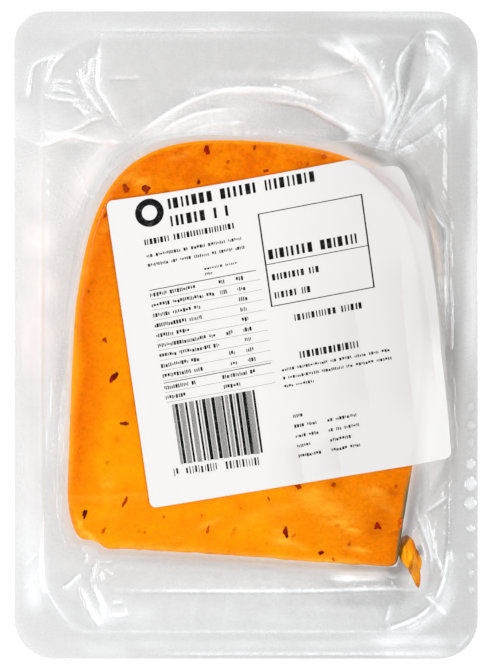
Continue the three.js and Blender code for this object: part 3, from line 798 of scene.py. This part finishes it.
def fold_relief(x, y, folds):
    """How far folds lift the film, the sheen on their soft side, the shade at the foot of their
    steep side, and each place's distance from the nearest fold, with that fold's power.

    Each fold rises steeply on its right, as seen along its points, and falls away softly on
    its left; with a negative width it is the other way round.
    """
    lift = np.zeros_like(x)
    sheen = np.zeros_like(x)
    shade = np.zeros_like(x)
    distance = np.full_like(x, 9.0)
    power = np.zeros_like(x)
    for points, height, width in folds:
        line = smooth_line(points)
        margin = 3 * SOFT_SIDE * abs(width)
        steep, soft = STEEP_SIDE * abs(width), SOFT_SIDE * abs(width)
        low, high = line.min(0) - margin, line.max(0) + margin
        near = (x > low[0]) & (x < high[0]) & (y > low[1]) & (y < high[1])
        here = np.column_stack([x[near], y[near]])
        best = np.full(len(here), 1e9)
        share = np.zeros(len(here))
        side = np.zeros(len(here))
        for step, (start, end) in enumerate(zip(line, line[1:])):
            along = end - start
            offset = here - start
            t = np.clip(offset @ along / (along @ along), 0, 1)
            away = np.hypot(*(offset - t[:, None] * along).T)
            closer = away < best
            best[closer] = away[closer]
            share[closer] = (step + t[closer]) / (len(line) - 1)
            leftward = along[0] * offset[:, 1] - along[1] * offset[:, 0]
            side[closer] = leftward[closer]
        taper = np.clip(np.sin(np.pi * np.clip(share, 0.03, 0.97)) * 1.7, 0, 1)
        reach = np.where(side * math.copysign(1, width) > 0, soft, steep)
        lift[near] += FOLD_RISE * height * np.exp(-((best / reach) ** 1.5)) * taper
        strength = min(1, abs(height)) * taper
        sheen[near] = np.maximum(sheen[near], strength * np.exp(-((best / (1.6 * reach)) ** 1.3)))
        foot = strength * np.exp(-((best / (2.4 * abs(width))) ** 1.5)) * (reach == steep)
        shade[near] = np.maximum(shade[near], foot)
        signed = best * np.sign(side) * math.copysign(1, width)
        nearest = best < np.abs(distance[near])
        distance[near] = np.where(nearest, signed, distance[near])
        power[near] = np.where(nearest, strength, power[near])
    return lift, sheen, shade, distance, power * np.clip(3 - 2 * np.abs(distance), 0, 1)


def film_height(x, y):
    """The film's outer surface, and what its material needs to know at each place."""
    angle, radius = polar(x, y)
    edge = wedge_radius(angle)
    pocket = pocket_radius(angle)
    shoulder, reach = skirt(angle, "shoulder"), skirt(angle, "reach")
    past = radius - edge
    shoulder_height = np.maximum(sheet_height(*round_middle(angle, edge + shoulder)), SEAL_TOP)
    down = np.clip((past - shoulder) / (reach - shoulder), 0, 1)
    down = 1 - (1 - down) ** 1.35
    wall = shoulder_height + (SEAL_TOP - shoulder_height) * down
    height = np.where(past <= shoulder, np.maximum(sheet_height(x, y), SEAL_TOP), wall)
    outside = np.clip((past - 0.2 * reach) / (0.8 * reach), 0, 1)
    inside_pocket = np.clip((pocket - radius) / 2.5, 0, 1)
    loose = outside * inside_pocket
    lift, sheen, shade, distance, power = fold_relief(x, y, FOLDS)
    # drawn streaks that run along the wedge's foot, and gathers that fan out in the corners
    streaks = value_noise(angle * 5, past * 1.1, 1, 35)
    streaks = streaks + 0.6 * value_noise(angle * 9, past * 2.3, 1, 36)
    near_wedge = np.exp(-((np.clip(past, 0, None) / (1.6 * reach)) ** 2)) * np.clip(past / 2, 0, 1)
    roomy = np.clip((pocket - edge - 14) / 10, 0, 1)
    gathers = 1 - np.abs(value_noise(angle * 20, past * 0.07, 1, 33))
    gathers = np.clip(gathers - 0.72, 0, 1) / 0.28
    gather_share = roomy * loose * (0.4 + 0.6 * value_noise(x, y, 8, 37) ** 2)
    billow = BILLOWS[0] * value_noise(x, y, 24, 31) + BILLOWS[1] * value_noise(x, y, 6, 32)
    blisters = np.zeros_like(x)
    rim_shades = np.zeros_like(x)
    for blister_y, rise, size in BLISTERS:
        out = np.hypot((x - BLISTER_X) / 0.85, y - blister_y) / size
        blisters += rise * np.exp(-(out**8))
        rim_shades = np.maximum(rim_shades, np.exp(-(((out - 1.2) / 0.25) ** 2)))
    step = 1 / (1 + np.exp(-(radius - pocket) / 0.25))
    ridge = np.exp(-(((radius - pocket - 0.5) / 0.7) ** 2))
    height = height + outside * lift + STREAK_HEIGHT * streaks * near_wedge
    height = height + GATHER_HEIGHT * gathers * gather_share + loose * (SLACK + billow)
    height = height + POCKET_STEP * step + POCKET_RIDGE * ridge + blisters
    from_crumb = np.hypot(
        (x - CRUMB_BUMP["x"]) / CRUMB_BUMP["half_width"],
        (y - CRUMB_BUMP["y"]) / CRUMB_BUMP["half_length"],
    )
    over_crumb = CRUMB_BUMP["height"] * np.exp(-(from_crumb**6))
    height = np.maximum(height, SEAL_TOP + over_crumb * outside)
    satin_sheen = np.clip(value_noise(angle * 4, past * 0.55, 1, 38), 0, 1) * np.exp(-past / 11)
    # painted highlights and painted shade, from the patches
    milky_highlights, dark = soft_marks(x, y, PATCHES)
    beyond = past > -0.2
    peach_glow_and_shade = soft_marks(x, y, PEACH_GLOW_AND_SHADE_PATCHES)[0] * beyond
    mottling = 0.8 + 0.35 * value_noise(x, y, 7, 39)
    # painted glow: a pale haze just beyond the wedge's edge, tinted by the cheese, except in the dull
    # corner
    beside = np.exp(-((np.clip(past - 0.3, 0, None) / 1.8) ** 1.5)) * beyond
    from_corner = np.hypot(x - DULL_CORNER["x"], y - DULL_CORNER["y"]) / DULL_CORNER["size"]
    beside = beside * (1 - 0.85 * np.exp(-(from_corner**6)))
    # painted highlights and sheen, which the film carries as white haze
    whites = {
        "sheen": sheen * outside,
        "blisters": blisters,
        "patches": milky_highlights * mottling * beyond,
        "ridge": ridge,
        "streaks": np.clip(streaks, 0, 1) * near_wedge,
        "gathers": gathers * gather_share,
        "satin_sheen": satin_sheen * roomy * loose,
        "beside": beside,
    }
    white = sum(WHITENESS[name] * share for name, share in whites.items())
    # painted shade in the grey: darker to the right and towards the top, at each fold's foot, in the
    # dark and peach patches and round the blisters, on top of the spare film's own tint
    grey = GREYNESS["spare"] + GREYNESS["rightward"] * x / 62 + GREYNESS["upward"] * y / 90
    grey = np.clip((past + 0.8) / reach, 0, 1) * beyond * grey
    grey = grey * (1 - 0.9 * np.clip(milky_highlights * mottling, 0, 1))
    grey = grey + GREYNESS["foot"] * shade * outside
    over_crumb = np.exp(-((from_crumb * 1.15) ** 6))
    white = white * (1 - 0.9 * over_crumb) + WHITENESS["peach_glow_and_shade"] * peach_glow_and_shade
    grey = grey * (1 - 0.7 * over_crumb) + GREYNESS["peach_glow_and_shade"] * peach_glow_and_shade
    grey = grey + dark * beyond + GREYNESS["rim_shades"] * rim_shades
    values = {"white": white, "spare": grey, "glow": np.clip(beside + peach_glow_and_shade, 0, 1)}
    values["wall"] = np.clip(1.3 - past / reach, 0, 1) * beyond
    values["fold_distance"] = distance
    values["fold_power"] = power * outside
    return height, values


def ring_radii(angle):
    """The distance of each ring of the film's front from the middle, in each direction."""
    edge = wedge_radius(angle)
    foot = edge + skirt(angle, "reach")
    pocket = pocket_radius(angle)
    foot = np.minimum(foot, pocket - 0.5)
    outer = pack_radius(angle)
    flat_end = edge - EDGE_ROUNDING - 0.7
    stations = [0, flat_end, edge - EDGE_ROUNDING, edge, foot, pocket + 1, outer - BORDER_BEVEL, outer]
    counts = [FACE_RINGS, 1, ROUNDING_RINGS, SKIRT_RINGS, SPARE_RINGS, BORDER_RINGS, 1]
    rings = []
    for start, end, count in zip(stations, stations[1:], counts):
        for step in range(1, count + 1):
            rings.append(start + (end - start) * step / count)
    return rings


def new_piece(name, places, faces):
    """A piece from its vertices' places, in millimetres, and its faces."""
    mesh = bpy.data.meshes.new(name)
    mesh.from_pydata((places * MM).tolist(), [], faces)
    piece = bpy.data.objects.new(name, mesh)
    bpy.context.collection.objects.link(piece)
    return piece


closed_outline = np.vstack([pack_outline, pack_outline[:1]])
outline_angles = np.sort(polar(*spaced_points(closed_outline, FILM_SPOKES + 1)[:-1].T)[0])
front_rings = [round_middle(outline_angles, radius) for radius in ring_radii(outline_angles)]
front_x, front_y = np.hstack(front_rings)
front_height, front_values = film_height(front_x, front_y)
edge_out = wedge_radius(outline_angles)
border_out = pack_radius(outline_angles)
back_steps = [
    (border_out, SEAL_UNDERSIDE),
    (border_out - BORDER_BEVEL, SEAL_UNDERSIDE),
    ((border_out + edge_out) / 2, SEAL_UNDERSIDE),
    (edge_out + 3.2, SEAL_UNDERSIDE),
    (edge_out + 2, SEAL_UNDERSIDE - 0.25),
    (edge_out + 1, 1),
    (edge_out, 0.35),
    (edge_out - EDGE_ROUNDING, 0),
    (edge_out * 0.5, 0),
]
back_rings = [round_middle(outline_angles, radius) for radius, _ in back_steps]
spokes = len(outline_angles)
back_x, back_y = np.hstack(back_rings)
back_height = np.repeat([float(height) for _, height in back_steps], spokes)
film_points = np.vstack([
    [*CENTRE, face_height(CENTRE[1])],
    np.column_stack([front_x, front_y, front_height]),
    np.column_stack([back_x, back_y, back_height]),
    [*CENTRE, 0],
])
starts = 1 + spokes * np.arange(len(front_rings) + len(back_rings))
spoke = np.arange(spokes)
next_spoke = (spoke + 1) % spokes
film_faces = [(0, 1 + i, 1 + j) for i, j in zip(spoke, next_spoke)]
for inner, outer in zip(starts, starts[1:]):
    film_faces += zip(inner + spoke, outer + spoke, outer + next_spoke, inner + next_spoke)
last = len(film_points) - 1
film_faces += [(last, starts[-1] + j, starts[-1] + i) for i, j in zip(spoke, next_spoke)]
film = new_piece("film", film_points, [tuple(map(int, face)) for face in film_faces])
take_up(film)
bpy.ops.object.shade_smooth()
BACK_VALUES = {"white": 0, "spare": 1, "glow": 0, "wall": 0, "fold_distance": 9, "fold_power": 0}
for name, back_value in BACK_VALUES.items():
    values = np.full(len(film_points), float(back_value))
    values[1 : 1 + len(front_x)] = front_values[name]
    values[0] = front_values[name][0]
    point_values(film, name, values)

clear_film, tree, _ = new_material("clear_film")
tree.nodes.clear()
place = node("TexCoord", "Object")


def band(middle, width):
    """A soft line along each fold: 1 at a distance from its crest and 0 away from it."""
    out = maths("DIVIDE", maths("SUBTRACT", fold_distance, middle), width)
    fading = maths("EXPONENT", times(times(out, out), -1))
    return times(fold_power, fading)


def mixed_shader(share, first, second):
    """A finish between two others."""
    made = node("MixShader", "Shader", Fac=share).node
    join(first, made.inputs[1])
    join(second, made.inputs[2])
    return made.outputs["Shader"]


spare, glow = stored("spare"), stored("glow")
fold_distance, fold_power = stored("fold_distance"), stored("fold_power")
facing = node("LayerWeight", "Facing", Blend=0.5)
# the web is drawn thin over the wedge and is clearest there; a steep wall is seen through more film, so
# it is darker; the stored spare value also carries painted shade, and the foot of each fold's steep
# side gets a painted shade line
clearness = times(graded(spare, 0, 3.5, 0.992, 0.439), graded(facing, 0, 0.75, 1, 0.86))
foot_shade = times(band(-0.85, 0.5), 0.2)
clearness = times(clearness, maths("SUBTRACT", 1, foot_shade))
# painted glow: the film beside the cheese is tinted with the cheese's orange, which stands for light
# bounced from it
glowing = mixed(glow, tint(1, 1, 1), tint(1, 0.88, 0.8))
seen = node("VectorMath", "Vector", {"operation": "SCALE"}, Vector=glowing, Scale=clearness)
through = node("BsdfTransparent", "BSDF", Color=seen)
# painted highlights carried as white haze: the milky patches, a bright line on each crest that comes
# and goes, and a fine grain
crest_white = times(band(0, 0.42), graded(noise(330), 0.38, 0.6, 0.5, 1))
grain = times(graded(noise(1100, 1), 0.3, 0.7, -0.05, 0.05), maths("MINIMUM", spare, 1.2))
white = maths("ADD", maths("ADD", stored("white"), grain), crest_white)
# a wall looks hazy from above, along the film, but clear from the side
from_side = times(stored("wall"), maths("SUBTRACT", 1, facing))
cleared = maths("SUBTRACT", 1, times(from_side, 0.85))
haze_and_highlight_share = graded(times(white, cleared), 0, 1, 0, 0.9)
haze_and_highlights = node("BsdfDiffuse", "BSDF", Color=mixed(glow, tint(0.905, 0.93, 0.95), tint(0.98, 0.72, 0.5)))
# small wrinkles, and the folds' sharp crests
wrinkles = bump(noise(180, 3, 0.5, 0.6), 0.25, 0.0004)
crests = bump(band(0, 0.45), 1, 0.00035, Normal=wrinkles)
gloss = node("BsdfGlossy", "BSDF", Color=tint(1, 1, 1), Roughness=0.12, Normal=crests)
# a mirror share that is the same from both sides, as the film is thin
mirror = maths("POWER", node("LayerWeight", "Facing", Blend=0.5, Normal=crests), 5)
mirror = times(graded(mirror, 0, 1, 0.032, 1), graded(spare, 0, 0.3, 0.3, 1))
shiny = mixed_shader(mirror, mixed_shader(haze_and_highlight_share, through, haze_and_highlights), gloss)
node("OutputMaterial", None, Surface=shiny)
film.data.materials.append(clear_film)
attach(film, "root")
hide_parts("pack")

# -------------------------------------------------------------
# The label: coated white paper, square, stuck on askew. It lies flat on the cut face, folds
# over the wedge's edge at the right, and is drawn down over the shoulder at its top right.
LABEL_LIFT = 0.12
LABEL_THICKNESS = 0.15
# how far the corners are rounded, as a share of the side, and the cells across and up
LABEL_ROUNDING = 0.022
LABEL_CELLS = (220, 180)
LABEL_CORNERS = {
    "top_left": (-39.8, 38), "top_right": (44.6, 47.6),
    "bottom_left": (-27.75, -50.35), "bottom_right": (59.8, -35.7),
}
# the curves of the top edge, which is notched near its end, and of the right edge
LABEL_TOP = [
    ((-16, 41), (5, 45), (28.4, 49.4)), ((31.4, 50), (33, 47.5), (35.6, 47.3)),
    ((37.8, 47.2), (42.4, 49.4), LABEL_CORNERS["top_right"]),
]
LABEL_RIGHT = [
    ((51.6, 34), (55, 14), (56, -4)),
    ((57.5, -14), (58.8, -24), LABEL_CORNERS["bottom_right"]),
]
# soft wrinkles in the paper, drawn like the film's folds
LABEL_FOLDS = [
    ([(29.5, 49), (34.3, 46.7), (42.2, 39.7), (47.2, 33.6), (51.5, 28)], 1.6, -1.6),
    ([(35.4, 47.4), (39, 45.4), (43, 42.6), (46.4, 37.5)], 0.9, 0.9),
    ([(44, 26), (45, 8), (47, -10), (49, -26)], 0.3, 2.4),
    ([(50, 22), (52.5, 4), (55, -16)], 0.25, 2),
    ([(15, -30), (16, -38), (17.5, -44)], 0.3, 1.6),
    ([(25.5, -28), (27, -36), (28, -41)], 0.3, 1.6),
    ([(30, 12), (33, -4), (36, -22)], 0.2, 3),
]


def straight(start, end):
    """A straight edge, as points."""
    return np.linspace(start, end, 200)


label_edges = {
    "top": bezier_chain(LABEL_CORNERS["top_left"], LABEL_TOP),
    "right": bezier_chain(LABEL_CORNERS["top_right"], LABEL_RIGHT),
    "bottom": straight(LABEL_CORNERS["bottom_left"], LABEL_CORNERS["bottom_right"]),
    "left": straight(LABEL_CORNERS["top_left"], LABEL_CORNERS["bottom_left"]),
}


def along_edge(name, share):
    """Places at shares of an edge's length."""
    points = spaced_points(label_edges[name], 400)
    return np.column_stack(
        [np.interp(share, np.linspace(0, 1, 400), points[:, axis]) for axis in (0, 1)]
    )


def label_plan(across, up):
    """Plan places on the label, blended between its four edges."""
    down = 1 - up
    corners = {name: np.array(place) for name, place in LABEL_CORNERS.items()}
    a, d, u = across[:, None], down[:, None], up[:, None]
    sides = along_edge("left", down) * (1 - a) + along_edge("right", down) * a
    ends = along_edge("bottom", across) * d + along_edge("top", across) * u
    middle = corners["top_left"] * (1 - a) * u + corners["bottom_left"] * (1 - a) * d
    middle = middle + corners["top_right"] * a * u + corners["bottom_right"] * a * d
    return sides + ends - middle


def round_corners(across, up):
    """Draws points of the unit square in at its corners."""
    inner = 1 - 2 * LABEL_ROUNDING
    from_middle = np.column_stack([2 * across - 1, 2 * up - 1])
    past = (np.abs(from_middle) - inner) / (1 - inner)
    in_corner = (past > 0).all(1)
    pull = past.max(1) / np.maximum(np.hypot(*past.T), 1e-9)
    drawn = inner + past * pull[:, None] * (1 - inner)
    rounded = np.sign(from_middle) * drawn
    from_middle[in_corner] = rounded[in_corner]
    return (from_middle[:, 0] + 1) / 2, (from_middle[:, 1] + 1) / 2


def label_height(x, y):
    """Height of the label's underside: the film's, with the soft wrinkles caught under it."""
    lift = fold_relief(x, y, LABEL_FOLDS)[0]
    unevenness = 0.10 * value_noise(x, y * 0.3, 5, 41) * np.clip((x + 5) / 25, 0, 1)
    angle, radius = polar(x, y)
    off_slope = 0.16 * np.clip(radius - wedge_radius(angle), 0, 6)
    return sheet_height(x, y) + LABEL_LIFT + lift + unevenness + off_slope


cells_across, cells_up = LABEL_CELLS
bpy.ops.mesh.primitive_grid_add(x_subdivisions=cells_across, y_subdivisions=cells_up, size=1)
label = bpy.context.object
label.name = "paper_label"
square = vertices_of(label) * MM + 0.5
square_x, square_y = round_corners(square[:, 0], square[:, 1])
flat = label_plan(square_x, square_y)
place_vertices(label, np.column_stack([flat, label_height(*flat.T)]))
apply_modifier(label, "SOLIDIFY", thickness=LABEL_THICKNESS * MM, offset=1)
label_x, label_y, _ = vertices_of(label).T
# painted shade at the foot of each crease's steep side
point_values(label, "crease_shade", fold_relief(label_x, label_y, LABEL_FOLDS)[2])
bpy.ops.object.shade_smooth_by_angle(angle=0.6)

paper, tree, shader = new_material("label_paper", Roughness=0.6, Specular_IOR_Level=0.2)
place = node("TexCoord", "Object")
# painted shade: the paper is greyer and warmer towards the right, over the shoulder, where it slopes
# away
colour = mixed(graded(where("X"), 0.005, 0.03), tint(0.715, 0.705, 0.7), tint(0.655, 0.645, 0.642))
# painted light: the flap at the lower right is lighter
lit_flap = times(graded(where("X"), 0.048, 0.053), graded(where("Y"), 0.004, -0.006))
colour = mixed(lit_flap, colour, tint(0.77, 0.765, 0.76))
# painted shade along the paper's creases
colour = mixed(stored("crease_shade"), colour, tint(0.5, 0.455, 0.445))
join(colour, shader.inputs["Base Color"])
join(bump(noise(900), 0.05, 0.0002), shader.inputs["Normal"])
label.data.materials.append(paper)
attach(label, "root")
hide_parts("label")

# -------------------------------------------------------------
# The print, in black by a thermal printer. It is measured on the label, from its top left
# corner: across, then down. All words are plain bars, and the bar code is only stripes.
PRINT_CORNER = (-39.2, 36.6)
ACROSS = (0.981, 0.186)
DOWN = (0.140, -0.950)
INK_LIFT = 0.03
INK_STEP = 1.2
ROW_PITCH = 3.05
ink_points = []
ink_faces = []


def ink_bar(across, down, width, height):
    """A printed bar, from its top left corner, in cells that follow the paper."""
    columns = max(1, math.ceil(width / INK_STEP))
    rows = max(1, math.ceil(height / (2 * INK_STEP)))
    first = len(ink_points)
    right = np.linspace(across, across + width, columns + 1)
    for lower in np.linspace(down, down + height, rows + 1):
        ink_points.extend((float(place), float(lower)) for place in right)
    for row in range(rows):
        for column in range(columns):
            start = first + row * (columns + 1) + column
            under = start + columns + 1
            ink_faces.append((start, under, under + 1, start + 1))


def ink_ticks(across, down, height, widths, seed, stroke=0.32, gap=0.25, space=0.75, trim=0.25):
    """A line of print as groups of upright ticks, one group for each word."""
    dice = np.random.default_rng(seed)
    for width in widths:
        end = across + width
        while across < end - stroke:
            tick = stroke * dice.choice([0.7, 1, 1.8])
            low = height * dice.choice([0, 0, trim])
            high = height * dice.choice([0, 0, trim])
            ink_bar(across, down + high, tick, height - low - high)
            across += tick + gap * dice.uniform(0.8, 1.3)
        across += space


def ink_title(across, down, height, widths, seed):
    """A heavy line of print."""
    ink_ticks(
        across, down, height, widths, seed, 0.25 * height, 0.25 * height, 0.6 * height, 0.0
    )


def ink_ring(across, down, outer, inner, sides=48):
    """A printed ring."""
    turn = np.linspace(0, math.tau, sides, endpoint=False)
    first = len(ink_points)
    for radius in (outer, (outer + inner) / 2, inner):
        rim = np.column_stack([across + radius * np.cos(turn), down - radius * np.sin(turn)])
        ink_points.extend(map(tuple, rim.tolist()))
    for start in (first, first + sides):
        for side in range(sides):
            after = (side + 1) % sides
            ink_faces.append((start + side, start + after, start + sides + after, start + sides + side))


# lines of print: across, down, height, the width of each word and the seed of its ticks
TITLES = [
    (17, 1.2, 3.1, [12.5, 11.8, 14], 41), (17, 6.3, 3.1, [9.6, 1.4, 2], 42),
    (8.7, 11.7, 1.7, [7.4, 17.5], 43), (43.2, 21.5, 2.9, [13.8, 11.5], 44),
    (43.3, 28.8, 1.9, [9.8, 2.6], 45), (43.3, 34.2, 1.9, [7, 2.6], 46),
    (48, 41.8, 1.9, [12, 6.4], 47), (48, 52.9, 2.1, [17.8], 48),
]
FINE_LINES = [
    (8.7, 16.2, 0.9, [2.2, 7.4, 1.6, 4.4, 5, 4], 51),
    (8.7, 18.9, 0.9, [6, 1.6, 2.8, 4.4, 1.6, 3.8, 2.8], 52),
    (24.5, 23.1, 0.7, [5, 3.5], 53), (24.5, 24.7, 0.7, [2.5], 54),
    (25, 55.6, 1.15, [7.5, 1.3], 130), (25, 58.6, 1.15, [5], 131),
    (42.3, 57, 0.85, [4, 9, 2, 4, 3.5, 3, 2.5], 151),
    (42.3, 59.5, 0.85, [0.8, 9, 6.5, 2, 5, 4.5], 152), (42.3, 62, 0.85, [3, 5.5], 153),
]
# the table's rows: where it starts, the words of each, and the rows that have a first number
TABLE_LEFT = 8
TABLE_TOP = 27.6
TABLE_WORDS = [
    [5, 7.5], [5, 9, 2.2], [5, 5, 2.2], [9.5, 3.5], [5, 3.5],
    [14, 2.2], [5, 9, 2.2], [8, 2.2], [8.5, 2.2],
]
NUMBERED_ROWS = (0, 1, 5, 7, 8)
NUMBER_PLACES = (28, 33)
LAST_ROWS = [(55.6, [7.5, 1.3]), (58.6, [5.5])]
WORD_HEIGHT = 1.15
NUMBER_HEIGHT = 1.2
# the fine rule under each row: how far below it, how long and how thick
RULE = {"drop": 1.95, "length": 32, "thickness": 0.07}
# across, down and width of the heavier rules, with their thickness
HEAVY_RULES = [(TABLE_LEFT, 26.6, 31, 0.22), (TABLE_LEFT, 54.6, 31.5, 0.2), (41.8, 25.6, 30.2, 0.22)]
RING = {"across": 11.4, "down": 4.2, "outer": 4.1, "inner": 2.2}
BOX = {"left": 41.8, "top": 10.5, "width": 30.2, "height": 27.8, "line": 0.42, "thin_line": 0.26}
STRIPES = {"left": 9.4, "right": 32, "top": 61.5, "height": 18.1}
BELOW_STRIPES = {"down": 80.7, "height": 2.3, "stroke": 0.3, "gap": 0.5}
HAIR_LINE = {"width": 0.13, "height": 18.3, "pitch": 0.24}
COLUMNS_TOP = 71.3
COLUMN_WORD_HEIGHT = 0.95
COLUMNS = {
    43.5: [[3], [2.8, 3], [2.8, 2.8], [4], [6.5]],
    53.2: [[], [2, 6.5], [1.6, 1.6, 4.5], [6.5], [5, 3]],
}

ink_ring(**RING)
for line in TITLES:
    ink_title(*line)
for line in FINE_LINES:
    ink_ticks(*line)
for row, words in enumerate(TABLE_WORDS):
    top = TABLE_TOP + row * ROW_PITCH
    ink_ticks(TABLE_LEFT, top, WORD_HEIGHT, words, 60 + row)
    if row in NUMBERED_ROWS:
        ink_ticks(NUMBER_PLACES[0], top, NUMBER_HEIGHT, [2], 80 + row)
    ink_ticks(NUMBER_PLACES[1], top, NUMBER_HEIGHT, [2.2], 100 + row)
    ink_bar(TABLE_LEFT, top + RULE["drop"], RULE["length"], RULE["thickness"])
for row, (top, words) in enumerate(LAST_ROWS):
    ink_ticks(TABLE_LEFT, top, WORD_HEIGHT, words, 120 + row)
    ink_bar(TABLE_LEFT, top + RULE["drop"], RULE["length"], RULE["thickness"])
for across, down, width, thickness in HEAVY_RULES:
    ink_bar(across, down, width, thickness)
# a run of stripes in the place of the bar code, with a line of ticks below it
stripe_dice = np.random.default_rng(348)
stripe = STRIPES["left"]
while stripe < STRIPES["right"]:
    # hair lines that the printer blurs into grey, and then a plain stripe
    for _ in range(stripe_dice.integers(2, 8)):
        ink_bar(stripe, STRIPES["top"], HAIR_LINE["width"], HAIR_LINE["height"])
        stripe += HAIR_LINE["pitch"]
    stripe += stripe_dice.choice([0.1, 0.3, 0.5])
    ink_bar(stripe, STRIPES["top"], stripe_dice.choice([0.6, 0.85, 1.0]), STRIPES["height"])
    stripe += stripe_dice.choice([1.05, 1.2])
ink_ticks(7, widths=[1.1], seed=180, **BELOW_STRIPES)
ink_ticks(10.6, widths=[9.8, 10], seed=181, space=2.2, trim=0.15, **BELOW_STRIPES)
# the box: its level lines, then its upright ones
for top in (BOX["top"], BOX["top"] + BOX["height"] - BOX["thin_line"]):
    ink_bar(BOX["left"], top, BOX["width"], BOX["thin_line"])
for left in (BOX["left"], BOX["left"] + BOX["width"] - BOX["line"]):
    ink_bar(left, BOX["top"], BOX["line"], BOX["height"])
for seed, (across, rows) in zip((160, 170), COLUMNS.items()):
    for row, words in enumerate(rows):
        ink_ticks(across, COLUMNS_TOP + row * ROW_PITCH, COLUMN_WORD_HEIGHT, words, seed + row)

ink_places = np.array(ink_points)
ink_plan = ink_places @ np.array([ACROSS, DOWN]) + PRINT_CORNER
# the paper was pulled, so the lowest lines at the left run a little flatter
pulled = np.clip((ink_places[:, 1] - 58) / 20, 0, None)
pulled = pulled * np.clip(ink_places[:, 0] - 9, 0, None) / 24
ink_plan[:, 1] -= 1.1 * pulled * (ink_places[:, 0] < 40)
ink_height = label_height(*ink_plan.T) + LABEL_THICKNESS + INK_LIFT
label_print = new_piece("label_print", np.column_stack([ink_plan, ink_height]), ink_faces)
black_ink, tree, shader = new_material("black_ink", Roughness=0.8, Specular_IOR_Level=0.05)
place = node("TexCoord", "Object")
worn_ink = ramp(noise(900, 3), 0.5, tint(0.006, 0.006, 0.006), 0.8, tint(0.06, 0.06, 0.06))
join(worn_ink, shader.inputs["Base Color"])
label_print.data.materials.append(black_ink)
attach(label_print, "root")
